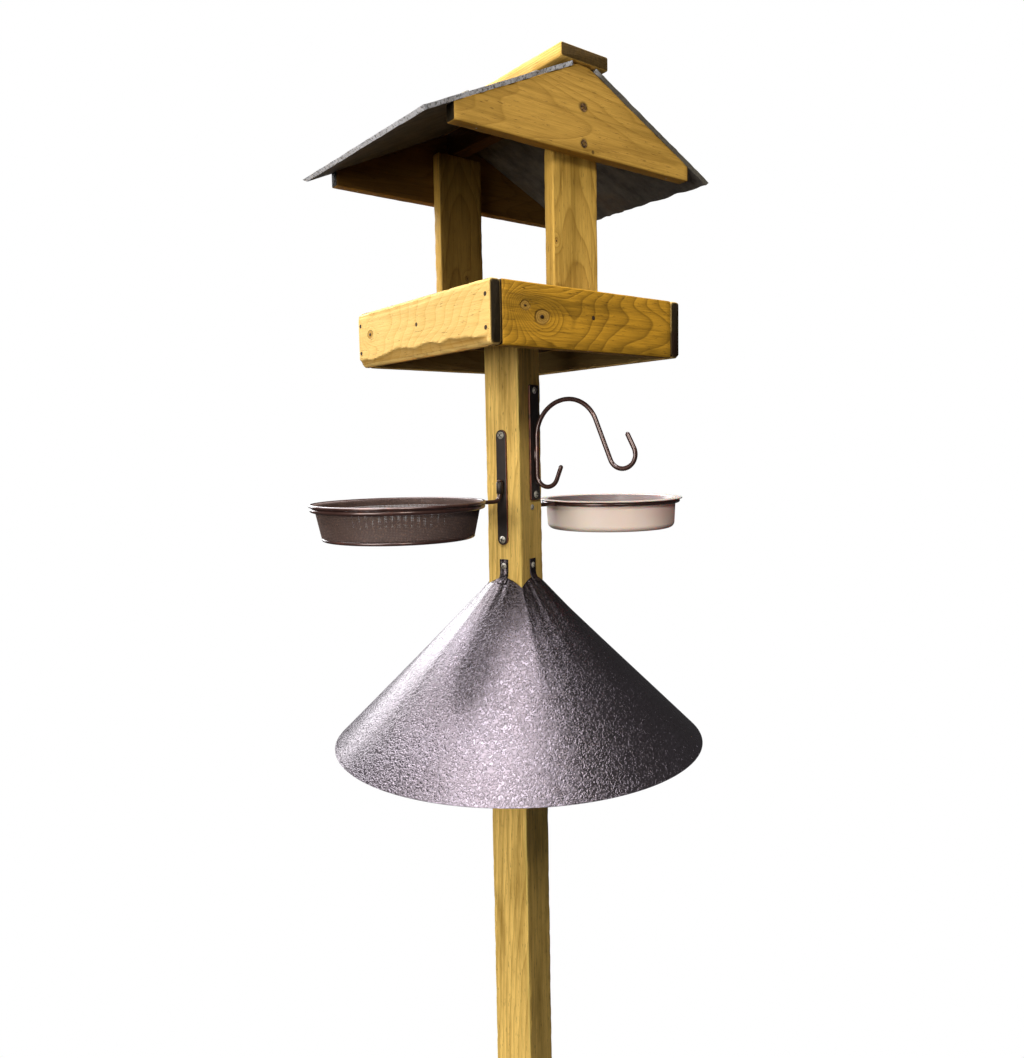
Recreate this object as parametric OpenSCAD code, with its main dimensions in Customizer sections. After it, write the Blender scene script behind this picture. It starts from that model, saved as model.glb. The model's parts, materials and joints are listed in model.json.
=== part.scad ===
// Bird feeder on a pole: a square timber tray under a slate roof, with a mesh seed dish and a water dish
// on swinging wire rings, a double hook and a steel cone baffle. Millimetres throughout.
// The origin is the centre of the pole's foot, +Z is up and the front of the house faces -Y.

/* [Pole] */
// Height of the tray's lower edge above the pole's foot
tray_z = 1300; // [1050:10:1700]
// Side of the square upper section
upper_side = 45; // [38:1:56]
// Side of the square lower section
lower_side = 48; // [40:1:60]
// Turn of the pole about its own axis, against the house
pole_turn = 18; // [0:1:20]
// Distance from the tray's lower edge down to the joint between the two sections
joint_drop = 330; // [300:5:370]
// Width of the planed-off corners of the pole
pole_ease = 1.6; // [0.5:0.1:3]
// Diameter of the dowel that joins the two sections
dowel_d = 20; // [12:1:24]
// Length of that dowel
dowel_l = 120; // [60:5:160]

/* [Tray] */
// Outside width of the tray, left to right
tray_w = 254; // [200:1:330]
// Outside depth of the tray, front to back
tray_d = 254; // [200:1:330]
// Height of the tray boards
board_h = 60; // [48:1:75]
// Thickness of the tray boards
board_t = 14; // [11:0.5:20]
// Width of the eased corners of the boards
board_ease = 1.2; // [0.4:0.1:2]
// Height of the floor's underside above the tray's lower edge
floor_up = 27; // [18:1:30]
// Thickness of the floor
floor_t = 12; // [9:0.5:16]
// How far the house stands right of the pole's axis
house_x = 2.5; // [-5:0.5:5]
// How far the house stands behind the pole's axis
house_y = -3.4; // [-5:0.1:5]

/* [Roof] */
// Width of the two roof posts
post_w = 60; // [45:1:72]
// Thickness of the two roof posts
post_t = 14; // [11:0.5:20]
// Gap between the front board and the front post
post_gap = 10; // [0:1:14]
// Height of the gables' lower edge above the tray's lower edge
gable_up = 193; // [160:1:230]
// Half of the width of a gable
gable_half = 153; // [130:1:185]
// Height of the blunt ends of a gable
gable_end = 15; // [10:0.5:20]
// Thickness of the gables
gable_t = 13; // [10:0.5:18]
// Pitch of the roof, in degrees
roof_pitch = 25; // [20:0.5:32]
// Width of the ridge batten
batten_w = 18; // [14:1:24]
// Depth of the ridge batten
batten_h = 28; // [20:1:36]
// Thickness of the slates
slate_t = 4.5; // [3:0.5:7]
// Level reach of a slate from the ridge line to its eave
slate_reach = 185; // [165:1:220]
// How far the slates pass the gables at each end
slate_over = 3; // [0:0.5:12]
// Width of the ridge cap
cap_w = 62; // [50:1:76]
// Thickness of the ridge cap
cap_t = 14; // [10:0.5:20]
// How much shorter than the slates the ridge cap is
cap_short = 7; // [0:1:20]

/* [Wire fittings] */
// Diameter of the ring and arm wire
ring_wire = 4.5; // [3.5:0.1:5]
// Diameter of the hook wire
hook_wire = 5; // [4:0.1:6]
// Thickness of the strap plates
plate_t = 2.5; // [2:0.1:4]
// Length of the strap plates
plate_l = 127; // [110:1:150]
// Width of the two plates that carry the rings
ring_plate_w = 13; // [12:0.5:18]
// Width of the plate that carries the hook
hook_plate_w = 18; // [14:0.5:22]
// Distance from a plate's end to its screw
plate_screw_in = 6; // [5:0.5:9]
// Drop from the tray's lower edge to the middle of the seed dish plate
seed_drop = 137; // [125:1:150]
// Drop from the tray's lower edge to the middle of the water dish plate
water_drop = 145; // [125:1:150]
// Drop from the tray's lower edge to the middle of the hook plate
hook_drop = 88; // [80:1:95]
// Distance from a ring plate's middle down to its ring
ring_down = 15; // [13:0.5:18]
// Distance from an arm's pivot to the centre of its ring
arm_reach = 123; // [115:1:140]
// Turn of an arm at rest, away from square to its plate
arm_rest_turn = -22; // [-35:1:0]
// Length of the socket that an arm's pin turns in
socket_l = 13; // [9:0.5:16]
// Wall of that socket
socket_wall = 1.4; // [1:0.1:2]
// Radial clearance of the pin in its socket
pin_fit = 0.08; // [0.05:0.01:0.1]

/* [Dishes] */
// Radius of the seed dish's wall at its ring
seed_r = 83.4; // [70:0.1:90]
// How much the seed dish narrows to its base
seed_taper = 6; // [2:0.5:10]
// Depth of the seed dish below its rim
seed_h = 32; // [22:1:40]
// Thickness of the mesh
mesh_t = 0.9; // [0.7:0.1:1.2]
// Diameter of the seed dish's rim and foot wires
rim_wire = 3.4; // [2.5:0.1:4]
// Radius of the water dish's wall at its ring
water_r = 79.5; // [70:0.1:90]
// Depth of the water dish below its rim
water_h = 37; // [25:1:45]
// Wall of the water dish
water_wall = 1.8; // [1.4:0.1:3]
// Width of the water dish's turned-out rim
water_lip = 8; // [6:0.5:10]
// Radius where the water dish's wall meets its floor
water_curve = 7; // [4:0.5:10]
// Gap between a dish's wall and its ring
dish_gap = 0.6; // [0.4:0.1:1]
// Gap left between a dish's rim and the ring that holds it
seat_gap = 0.3; // [0.3:0.05:0.5]

/* [Baffle] */
// Radius of the cone at its rim
baffle_r = 208; // [170:1:250]
// Height of the cone
baffle_h = 175; // [140:1:200]
// Drop from the tray's lower edge to the cone's rim
baffle_drop = 422; // [410:1:450]
// Thickness of the sheet
sheet_t = 1; // [0.8:0.1:1.5]
// Width of the four fixing tabs
tab_w = 11; // [9:0.5:14]
// Height of the four fixing tabs
tab_h = 22; // [18:1:28]
// Width of the lapped seam
seam_w = 14; // [10:1:20]

/* [Fixings] */
// Diameter of the wood screws' shanks
screw_d = 3.6; // [3:0.1:4.5]
// Diameter of their heads
screw_head = 8; // [6.5:0.1:9]
// Diameter of the nails
nail_d = 2.4; // [2:0.1:3]
// Diameter of the nails' heads
nail_head = 4.2; // [3.5:0.1:6]
// Diameter of the slate nails' heads
clout_head = 9; // [7:0.5:11]

/* [Hidden] */
$fn = 48;

hole_fit = 0.05;
wood = "#b98a3c";
shade_wood = "#7d5726";
end_wood = "#8d6a35";
slate_grey = "#5d5d63";
dark_metal = "#2c221f";
copper_brown = "#4d3029";
bright_steel = "#b7b4ae";
cream = "#e6d2c4";
in_x = tray_w / 2 - board_t;
in_y = tray_d / 2 - board_t;
floor_z = tray_z + floor_up;
floor_top = floor_z + floor_t;
joint_z = tray_z - joint_drop;
post_front_y = -(in_y - post_gap);
post_back_y = in_y;
gable_z = tray_z + gable_up;
gable_front_y = post_front_y - gable_t;
gable_back_y = post_back_y + gable_t;
ridge_h = gable_end + gable_half * tan(roof_pitch);
ridge_z = gable_z + ridge_h;
slate_start = slate_t / tan(roof_pitch) + 6;
slate_end = slate_reach / cos(roof_pitch);
slate_front_y = gable_front_y - slate_over;
slate_back_y = gable_back_y + slate_over;
cap_z = ridge_z - slate_start * sin(roof_pitch) + slate_t * cos(roof_pitch);
flat_half = (ridge_z - cap_z) / tan(roof_pitch);
batten_z = cap_z - batten_h;
post_top = batten_z;
plate_screw_l = 22;
pin_r = ring_wire / 2;
socket_r = pin_r + pin_fit;
socket_out_r = socket_r + socket_wall;
pin_head_h = 2.4;
pin_head_r = pin_r + 0.9;
head_gap = 0.25;
pivot_out = plate_t + pin_head_r + head_gap;
run_gap = 0.3;
arm_bend = ring_wire * 1.8;
seed_plate_z = tray_z - seed_drop;
water_plate_z = tray_z - water_drop;
hook_plate_z = tray_z - hook_drop;
seed_ring_z = seed_plate_z - ring_down;
water_ring_z = water_plate_z - ring_down;
seed_ring_r = seed_r + dish_gap + pin_r;
water_ring_r = water_r + dish_gap + pin_r;
rim_out = 1.5;
seed_rim_r = seed_ring_r + rim_out;
seat_reach = (ring_wire + rim_wire) / 2 + seat_gap;
seed_rim_z = seed_ring_z + sqrt(seat_reach * seat_reach - rim_out * rim_out);
seed_base_z = seed_rim_z - seed_h;
seed_base_r = seed_r - seed_taper;
water_rim_z = water_ring_z + pin_r + seat_gap;
water_base_z = water_rim_z + water_wall - water_h;
water_rim_r = water_r + water_lip;
baffle_rim_z = tray_z - baffle_drop;
corner_gap = 1.8;
baffle_top_r = upper_side / sqrt(2) + corner_gap;
baffle_hole = baffle_top_r * sqrt(2);
baffle_fall = baffle_h / (baffle_r - baffle_top_r);
skin = sheet_t * sqrt(1 + baffle_fall * baffle_fall);
tab_screw_up = 9;
hook_off = 6;
rivet_d = 4;
rivet_head = 6;
rivet_head_h = 1;
rivet_ease = 0.12;

// The outline of a square bar with planed-off corners, centred
module eased_square(x, y, ease) {
    polygon([[x / 2 - ease, y / 2], [ease - x / 2, y / 2], [-x / 2, y / 2 - ease], [-x / 2, ease - y / 2],
        [ease - x / 2, -y / 2], [x / 2 - ease, -y / 2], [x / 2, ease - y / 2], [x / 2, y / 2 - ease]]);
}

// A board that lies along Y: its section is t wide and h high, and it stands on Z = 0
module board_y(t, h, l) {
    translate([0, l / 2, h / 2]) rotate([90, 0, 0]) linear_extrude(l) eased_square(t, h, board_ease);
}

// A board that lies along X
module board_x(t, h, l) {
    rotate([0, 0, 90]) board_y(t, h, l);
}

// The house's place on the pole
module house() {
    translate([house_x, house_y, 0]) children();
}

// The pole's own axes
module pole_frame() {
    rotate([0, 0, pole_turn]) children();
}

// A face of the upper section: local +X points out of the wood, +Z is up
module on_face(turn) {
    pole_frame() rotate([0, 0, turn]) translate([upper_side / 2, 0, 0]) children();
}

// Points [x, z, heading] along a run of [straight length, bend angle, bend radius] steps that starts
// upwards; a positive bend turns towards +X
function run_points(steps, i = 0, x = 0, z = 0, head = 0) = i >= len(steps) ? [[x, z, head]] :
    let (straight = steps[i][0], bend = steps[i][1], r = steps[i][2], s = sign(bend),
        x1 = x + straight * sin(head), z1 = z + straight * cos(head),
        cx = x1 + s * r * cos(head), cz = z1 - s * r * sin(head), n = ceil(abs(bend) / 12))
    concat(straight > 0 ? [[x, z, head]] : [],
        n == 0 ? [] : [for (k = [0 : n - 1]) let (h = head + bend * k / n)
            [cx - s * r * cos(h), cz + s * r * sin(h), h]],
        run_points(steps, i + 1, cx - s * r * cos(head + bend), cz + s * r * sin(head + bend), head + bend));

// A round wire along such points
module bent_wire(run, d) {
    sides = 12;
    n = len(run);
    ring = [for (p = run, k = [0 : sides - 1]) let (a = 360 * k / sides)
        [p[0] + d / 2 * cos(a) * cos(p[2]), d / 2 * sin(a), p[1] - d / 2 * cos(a) * sin(p[2])]];
    wall = [for (i = [0 : n - 2], k = [0 : sides - 1]) let (j = (k + 1) % sides)
        [i * sides + k, (i + 1) * sides + k, (i + 1) * sides + j, i * sides + j]];
    polyhedron(ring, concat(wall, [[for (k = [0 : sides - 1]) k],
        [for (k = [sides - 1 : -1 : 0]) (n - 1) * sides + k]]));
}

// A wire ring lying level
module wire_ring(r, d) {
    rotate_extrude($fn = 96) translate([r, 0]) circle(d = d);
}

// A pan-head wood screw whose head sits on Z = 0 and whose shank runs down
module pan_screw(l, d = screw_d, head = screw_head) {
    rise = head * 0.3;
    ball = (head * head / 4 + rise * rise) / (2 * rise);
    tip = d;
    intersection() {
        translate([0, 0, rise - ball]) sphere(r = ball);
        cylinder(h = rise, d = head);
    }
    translate([0, 0, tip - l]) cylinder(h = l - tip + 0.01, d = d);
    translate([0, 0, -l]) cylinder(h = tip, d1 = 0.4, d2 = d, $fn = 24);
}

// A countersunk wood screw whose flat head is level with Z = 0
module sunk_screw(l, d = screw_d, head = screw_head) {
    sink = (head - d) / 2;
    translate([0, 0, -sink]) cylinder(h = sink, d1 = d, d2 = head, $fn = 32);
    translate([0, 0, d - l]) cylinder(h = l - d - sink, d = d);
    translate([0, 0, -l]) cylinder(h = d, d1 = 0.4, d2 = d, $fn = 24);
}

// A nail with a flat head that is let into the wood, or lies on it where proud is set
module nail(l, head = nail_head, t = 1, proud = 0) {
    translate([0, 0, proud - t]) cylinder(h = t, d = head);
    translate([0, 0, -l]) cylinder(h = l + proud - t, d = nail_d);
}

// The hole for a screw's shank, open at the top
module shank_hole(l, d = screw_d) {
    translate([0, 0, -l - 0.2]) cylinder(h = l + 5, d = d + 2 * hole_fit);
}

// The hole for a countersunk screw
module sunk_hole(l, d = screw_d, head = screw_head) {
    sink = (head - d) / 2;
    shank_hole(l, d);
    translate([0, 0, -sink]) cylinder(h = sink, d1 = d + 2 * hole_fit, d2 = head + 2 * hole_fit, $fn = 32);
    translate([0, 0, -0.001]) cylinder(h = 2, d = head + 2 * hole_fit);
}

// The hole for a nail
module nail_hole(l, head = nail_head, t = 1, proud = 0) {
    translate([0, 0, -l - 0.2]) cylinder(h = l + 3, d = nail_d + 2 * hole_fit);
    if (proud < t) translate([0, 0, proud - t]) cylinder(h = 4, d = head + 2 * hole_fit);
}

// Places of the fixings, each with +Z pointing out of the surface that it enters
module at_joint_screws() {
    for (k = [-1, 1]) pole_frame() rotate([0, 0, 90 - 90 * k]) {
        side = k > 0 ? upper_side : lower_side;
        translate([side / 2, 0, joint_z + k * dowel_l / 4]) rotate([0, 90, 0]) children();
    }
}

module at_corner_nails() {
    house() for (sx = [-1, 1], sy = [-1, 1], z = [board_h * 0.26, board_h * 0.76])
        translate([sx * tray_w / 2, sy * (tray_d / 2 - board_t / 2), tray_z + z])
            rotate([0, 90 * sx, 0]) children();
}

module at_floor_nails() {
    house() for (turn = [0, 90, 180, 270]) {
        side = turn % 180 == 0 ? tray_w : tray_d;
        rotate([0, 0, turn]) translate([side / 2, 0, floor_z + floor_t / 2]) rotate([0, 90, 0]) children();
    }
}

module at_floor_screws() {
    for (sx = [-1, 1], sy = [-1, 1]) pole_frame()
        translate([sx * upper_side / 4, sy * upper_side / 4, floor_top]) children();
}

module at_post_screws() {
    house() for (sx = [-1, 1], y = [post_front_y + post_t / 2, post_back_y - post_t / 2])
        translate([sx * post_w / 4, y, floor_z]) rotate([180, 0, 0]) children();
}

module at_gable_screws(k) {
    house() for (drop = [12, 46])
        translate([0, k < 0 ? gable_front_y : gable_back_y, post_top - drop])
            rotate([-90 * k, 0, 0]) children();
}

module at_slate_nails(k) {
    first = slate_start + 46;
    last = (gable_half - 18) / cos(roof_pitch);
    house() for (u = [first, last], y = [gable_front_y + gable_t / 2, gable_back_y - gable_t / 2])
        translate([0, y, ridge_z]) rotate([0, k > 0 ? 0 : 180, 0])
            mirror([0, 0, k > 0 ? 0 : 1]) rotate([0, roof_pitch, 0])
                translate([u, 0, slate_t]) children();
}

module at_cap_screws() {
    house() for (s = [-1, 1])
        translate([0, (slate_front_y + slate_back_y) / 2 + s * (post_back_y - post_front_y) / 3,
            cap_z + cap_t]) children();
}

module at_plate_screws(turn, z, off = 0) {
    for (s = [-1, 1]) on_face(turn)
        translate([plate_t, off, z + s * (plate_l / 2 - plate_screw_in)]) rotate([0, 90, 0]) children();
}

module at_tab_screws() {
    for (turn = [0, 90, 180, 270]) on_face(turn)
        translate([sheet_t, 0, baffle_rim_z + baffle_h + tab_h + corner_gap - tab_screw_up + 8])
            rotate([0, 90, 0]) children();
}

module at_spare_screw() {
    on_face(270) translate([0, 2, hook_plate_z - plate_l / 2 - 8]) rotate([0, 90, 0]) children();
}

module all_face_holes() {
    at_plate_screws(180, seed_plate_z) shank_hole(plate_screw_l);
    at_plate_screws(0, water_plate_z) shank_hole(plate_screw_l);
    at_plate_screws(270, hook_plate_z, hook_off) shank_hole(plate_screw_l);
    at_tab_screws() shank_hole(18);
    at_spare_screw() shank_hole(16);
    at_floor_screws() shank_hole(50);
}

// The pole
module pole_lower() {
    color(wood) difference() {
        pole_frame() linear_extrude(joint_z) eased_square(lower_side, lower_side, pole_ease);
        translate([0, 0, joint_z - dowel_l / 2]) cylinder(h = dowel_l, r = dowel_d / 2 + hole_fit);
        at_joint_screws() shank_hole(lower_side / 2);
    }
}

module pole_upper() {
    color(wood) difference() {
        pole_frame() translate([0, 0, joint_z])
            linear_extrude(floor_z - joint_z) eased_square(upper_side, upper_side, pole_ease);
        translate([0, 0, joint_z - dowel_l / 2]) cylinder(h = dowel_l, r = dowel_d / 2 + hole_fit);
        at_joint_screws() shank_hole(lower_side / 2);
        all_face_holes();
    }
}

module pole_dowel() {
    color(end_wood) difference() {
        translate([0, 0, joint_z - dowel_l / 2]) cylinder(h = dowel_l, d = dowel_d);
        at_joint_screws() shank_hole(lower_side / 2);
    }
}

module pole_joint_screws() {
    color(bright_steel) at_joint_screws() pan_screw(lower_side / 2);
}

// The tray
module tray_side(k) {
    color(wood) difference() {
        house() translate([k * (tray_w - board_t) / 2, -tray_d / 2, tray_z])
            translate([0, tray_d / 2, 0]) board_y(board_t, board_h, tray_d);
        at_corner_nails() nail_hole(40);
        at_floor_nails() nail_hole(40);
    }
}

module tray_end(k) {
    color(wood) difference() {
        house() translate([0, k * (tray_d - board_t) / 2, tray_z]) board_x(board_t, board_h, 2 * in_x);
        at_corner_nails() nail_hole(40);
        at_floor_nails() nail_hole(40);
    }
}

module tray_board_left() {
    tray_side(-1);
}

module tray_board_right() {
    tray_side(1);
}

module tray_board_front() {
    tray_end(-1);
}

module tray_board_back() {
    tray_end(1);
}

module tray_floor() {
    color(shade_wood) difference() {
        house() translate([-in_x, -in_y, floor_z]) cube([2 * in_x, 2 * in_y, floor_t]);
        at_floor_nails() nail_hole(40);
        at_floor_screws() sunk_hole(50);
        at_post_screws() sunk_hole(40);
    }
}

module tray_corner_nails() {
    color(dark_metal) at_corner_nails() nail(40);
}

module tray_floor_nails() {
    color(dark_metal) at_floor_nails() nail(40);
}

module tray_floor_screws() {
    color(bright_steel) at_floor_screws() sunk_screw(50);
}

// The roof's frame
module roof_post(k) {
    y = k < 0 ? post_front_y + post_t / 2 : post_back_y - post_t / 2;
    color(wood) difference() {
        house() translate([0, y, floor_top]) linear_extrude(post_top - floor_top)
            eased_square(post_w, post_t, board_ease);
        at_post_screws() sunk_hole(40);
        at_gable_screws(k) sunk_hole(gable_t + post_t - 3);
    }
}

module roof_post_front() {
    roof_post(-1);
}

module roof_post_back() {
    roof_post(1);
}

module roof_post_screws() {
    color(bright_steel) at_post_screws() sunk_screw(40);
}

module gable(k) {
    top = cap_z - gable_z;
    y = k < 0 ? gable_front_y + gable_t : gable_back_y;
    color(wood) difference() {
        house() translate([0, y, gable_z]) rotate([90, 0, 0]) linear_extrude(gable_t)
            polygon([[-gable_half, 0], [gable_half, 0], [gable_half, gable_end], [flat_half, top],
                [-flat_half, top], [-gable_half, gable_end]]);
        at_gable_screws(k) sunk_hole(gable_t + post_t - 3);
        for (s = [-1, 1]) at_slate_nails(s) nail_hole(30, clout_head, 1, 1);
    }
}

module gable_front() {
    gable(-1);
}

module gable_back() {
    gable(1);
}

module gable_screws() {
    color(bright_steel) for (k = [-1, 1]) at_gable_screws(k) sunk_screw(gable_t + post_t - 3);
}

module ridge_batten() {
    inner = gable_back_y - gable_front_y - 2 * gable_t;
    color(shade_wood) difference() {
        house() translate([0, (gable_front_y + gable_back_y) / 2, batten_z])
            board_y(batten_w, batten_h, inner);
        at_cap_screws() sunk_hole(cap_t + batten_h - 8);
    }
}

// The slates and the ridge cap
module slate(k) {
    color(slate_grey) difference() {
        house() mirror([k > 0 ? 0 : 1, 0, 0]) translate([0, slate_front_y, ridge_z])
            rotate([0, roof_pitch, 0]) translate([slate_start, 0, 0])
                cube([slate_end - slate_start, slate_back_y - slate_front_y, slate_t]);
        at_slate_nails(k) nail_hole(30, clout_head, 1, 1);
    }
}

module slate_left() {
    slate(-1);
}

module slate_right() {
    slate(1);
}

module slate_nails() {
    color(bright_steel) for (k = [-1, 1]) at_slate_nails(k) nail(30, clout_head, 1, 1);
}

module ridge_cap() {
    l = slate_back_y - slate_front_y - cap_short;
    color(wood) difference() {
        house() translate([0, slate_front_y + l / 2, cap_z]) board_y(cap_w, cap_t, l);
        at_cap_screws() sunk_hole(cap_t + batten_h - 8);
    }
}

module ridge_cap_screws() {
    color(bright_steel) at_cap_screws() sunk_screw(cap_t + batten_h - 8);
}

// The cone baffle: a band of the sheet between two radii, lifted by whole sheet thicknesses
module cone_skin(r0, r1, lift = 0) {
    z0 = baffle_rim_z + (baffle_r - r0) * baffle_fall + lift * skin;
    z1 = baffle_rim_z + (baffle_r - r1) * baffle_fall + lift * skin;
    rotate_extrude($fn = 96) polygon([[r0, z0], [r1, z1], [r1, z1 - skin], [r0, z0 - skin]]);
}

// The square opening for the pole, with the roots of the four tabs left standing in it
module baffle_opening(face) {
    difference() {
        square(baffle_hole, center = true);
        for (turn = [0, 90, 180, 270]) rotate(turn) translate([face, -tab_w / 2]) square([face, tab_w]);
    }
}

module at_seam() {
    pole_frame() rotate([0, 0, 45]) children();
}

module baffle_cone() {
    face = upper_side / 2;
    tab_z = baffle_rim_z + (baffle_r - face) * baffle_fall - skin;
    color(dark_metal) difference() {
        union() {
            difference() {
                cone_skin(face - 2, baffle_r);
                pole_frame() translate([0, 0, tab_z - 40]) linear_extrude(80) baffle_opening(face);
            }
            for (turn = [0, 90, 180, 270]) pole_frame() rotate([0, 0, turn])
                translate([face, -tab_w / 2, tab_z - 0.3]) cube([sheet_t, tab_w, tab_h + 0.3]);
            at_seam() intersection() {
                cone_skin(baffle_top_r + 8, baffle_r - 1, 1);
                translate([0, -seam_w / 2, baffle_rim_z - 5]) cube([baffle_r, seam_w, baffle_h + 20]);
            }
        }
        at_tab_screws() shank_hole(18);
        at_baffle_rivets() cylinder(h = 12, d = rivet_d + 2 * hole_fit, center = true);
    }
}

module at_baffle_rivets() {
    tilt = atan(baffle_fall);
    at_seam() for (share = [0.25, 0.5, 0.75]) {
        r = baffle_top_r + share * (baffle_r - baffle_top_r);
        translate([r, 0, baffle_rim_z + (baffle_r - r) * baffle_fall + skin]) rotate([0, 90 - tilt, 0])
            children();
    }
}

module baffle_rivets() {
    color(dark_metal) at_baffle_rivets() {
        translate([0, 0, -2 * sheet_t - rivet_ease]) cylinder(h = 2 * sheet_t + rivet_ease, r = rivet_d / 2);
        cylinder(h = rivet_head_h, d = rivet_head);
        translate([0, 0, -2 * sheet_t - rivet_ease - rivet_head_h]) cylinder(h = rivet_head_h, d = rivet_head);
    }
}

module baffle_screws() {
    color(bright_steel) at_tab_screws() pan_screw(18, screw_d, 7);
}

// The strap plates
module strap(z, w, turn, off, round_ends) {
    half = plate_l / 2 - (round_ends ? w / 2 : 0);
    on_face(turn) translate([0, off, z]) {
        translate([0, -w / 2, -half]) cube([plate_t, w, 2 * half]);
        if (round_ends) for (s = [-1, 1])
            translate([0, 0, s * half]) rotate([0, 90, 0]) cylinder(h = plate_t, d = w);
    }
}

// A strap with the socket that a ring's pin turns in
module ring_plate(turn, z) {
    color(dark_metal) difference() {
        union() {
            strap(z, ring_plate_w, turn, 0, true);
            on_face(turn) translate([pivot_out, 0, z - socket_l / 2]) cylinder(h = socket_l, r = socket_out_r);
        }
        on_face(turn) translate([pivot_out, 0, z - socket_l]) cylinder(h = 2 * socket_l, r = socket_r);
        at_plate_screws(turn, z) shank_hole(plate_screw_l);
    }
}

module seed_plate() {
    ring_plate(180, seed_plate_z);
}

module water_plate() {
    ring_plate(0, water_plate_z);
}

module hook_plate() {
    color(dark_metal) difference() {
        strap(hook_plate_z, hook_plate_w, 270, hook_off, false);
        at_plate_screws(270, hook_plate_z, hook_off) shank_hole(plate_screw_l);
    }
}

module seed_plate_screws() {
    color(bright_steel) at_plate_screws(180, seed_plate_z) pan_screw(plate_screw_l);
}

module water_plate_screws() {
    color(bright_steel) at_plate_screws(0, water_plate_z) pan_screw(plate_screw_l);
}

module hook_plate_screws() {
    color(bright_steel) at_plate_screws(270, hook_plate_z, hook_off) pan_screw(plate_screw_l);
}

module spare_pole_screw() {
    color(bright_steel) at_spare_screw() pan_screw(16, screw_d, 6.5);
}

// A ring's own axes: the pivot is the origin, the ring lies towards +X and Z = 0 is the ring's plane
module at_pivot(turn, ring_z) {
    on_face(turn) translate([pivot_out, 0, ring_z]) rotate([0, 0, arm_rest_turn]) children();
}

// A ring with its arm: the arm's pin stands up through the socket and is headed over above it
module ring_arm(turn, ring_z, ring_r) {
    pin_top = ring_down + socket_l / 2 + run_gap;
    color(copper_brown) at_pivot(turn, ring_z) {
        translate([0, 0, pin_top]) cylinder(h = pin_head_h, r = pin_head_r);
        translate([0, 0, arm_bend]) cylinder(h = pin_top - arm_bend + 0.01, d = ring_wire);
        rotate([180, 0, 0]) translate([arm_bend, 0, -arm_bend]) mirror([1, 0, 0]) rotate([90, 0, 0])
            rotate_extrude(angle = 90) translate([arm_bend, 0]) circle(d = ring_wire);
        translate([arm_bend, 0, 0]) rotate([0, 90, 0]) cylinder(h = arm_reach - ring_r - arm_bend, d = ring_wire);
        translate([arm_reach, 0, 0]) wire_ring(ring_r, ring_wire);
    }
}

module seed_ring_arm() {
    ring_arm(180, seed_ring_z, seed_ring_r);
}

module water_ring_arm() {
    ring_arm(0, water_ring_z, water_ring_r);
}

// The seed dish
module at_seed_dish() {
    at_pivot(180, seed_ring_z) translate([arm_reach, 0, -seed_ring_z]) children();
}

module seed_dish_rim() {
    color(copper_brown) at_seed_dish() translate([0, 0, seed_rim_z]) wire_ring(seed_rim_r, rim_wire);
}

module seed_dish_wall() {
    lip = rim_wire / 2;
    color(copper_brown) at_seed_dish() rotate_extrude($fn = 96) polygon([[seed_base_r, seed_base_z],
        [seed_r, seed_ring_z], [seed_r + 0.4, seed_rim_z], [seed_rim_r - lip, seed_rim_z],
        [seed_rim_r - lip, seed_rim_z + mesh_t], [seed_r + 0.4 - mesh_t, seed_rim_z + mesh_t],
        [seed_r - mesh_t, seed_ring_z], [seed_base_r - mesh_t, seed_base_z]]);
}

module seed_dish_floor() {
    color(copper_brown) at_seed_dish() translate([0, 0, seed_base_z])
        cylinder(h = mesh_t, r = seed_base_r - mesh_t, $fn = 96);
}

module seed_dish_foot_wire() {
    color(copper_brown) at_seed_dish() translate([0, 0, seed_base_z - rim_wire / 2])
        wire_ring(seed_base_r - rim_wire / 2, rim_wire);
}

// The water dish
module at_water_dish() {
    at_pivot(0, water_ring_z) translate([arm_reach, 0, -water_ring_z]) children();
}

module water_dish() {
    base_r = water_r - 1.5;
    low = [base_r - water_curve, water_base_z + water_curve];
    inner = water_curve - water_wall;
    turned = [for (a = [0 : 15 : 90]) [low[0] + water_curve * sin(a), low[1] - water_curve * cos(a)]];
    hollow = [for (a = [90 : -15 : 0]) [low[0] + inner * sin(a), low[1] - inner * cos(a)]];
    color(cream) at_water_dish() rotate_extrude($fn = 96) polygon(concat(
        [[0, water_base_z]], turned,
        [[water_r, water_ring_z], [water_r, water_rim_z], [water_rim_r, water_rim_z],
        [water_rim_r, water_rim_z + water_wall], [water_r - water_wall, water_rim_z + water_wall]],
        hollow, [[0, water_base_z + water_wall]]));
}

// The double hook: one wire, bent from the tip of the lower hook round to the tip of the upper one
module double_hook() {
    out = plate_t + hook_wire / 2;
    up = run_points([[20, 90, 40], [0, 68, 37], [46, -185, 15], [18, 0, 1]]);
    down = run_points([[22, 158, 13], [17, 0, 1]]);
    back = [for (k = [len(down) - 1 : -1 : 1]) [down[k][0], -down[k][1], -down[k][2]]];
    color(copper_brown) on_face(270) translate([out, hook_off, hook_plate_z - 14])
        bent_wire(concat(back, up), hook_wire);
}

pole_lower();
pole_upper();
pole_dowel();
pole_joint_screws();
tray_board_left();
tray_board_right();
tray_board_front();
tray_board_back();
tray_floor();
tray_corner_nails();
tray_floor_nails();
tray_floor_screws();
roof_post_front();
roof_post_back();
roof_post_screws();
gable_front();
gable_back();
gable_screws();
ridge_batten();
slate_left();
slate_right();
slate_nails();
ridge_cap();
ridge_cap_screws();
baffle_cone();
baffle_rivets();
baffle_screws();
seed_plate();
seed_plate_screws();
seed_ring_arm();
seed_dish_rim();
seed_dish_wall();
seed_dish_floor();
seed_dish_foot_wire();
water_plate();
water_plate_screws();
water_ring_arm();
water_dish();
hook_plate();
hook_plate_screws();
double_hook();
spare_pole_screw();
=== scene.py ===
import json
import math

import bpy
from mathutils import Euler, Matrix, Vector, noise


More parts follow.
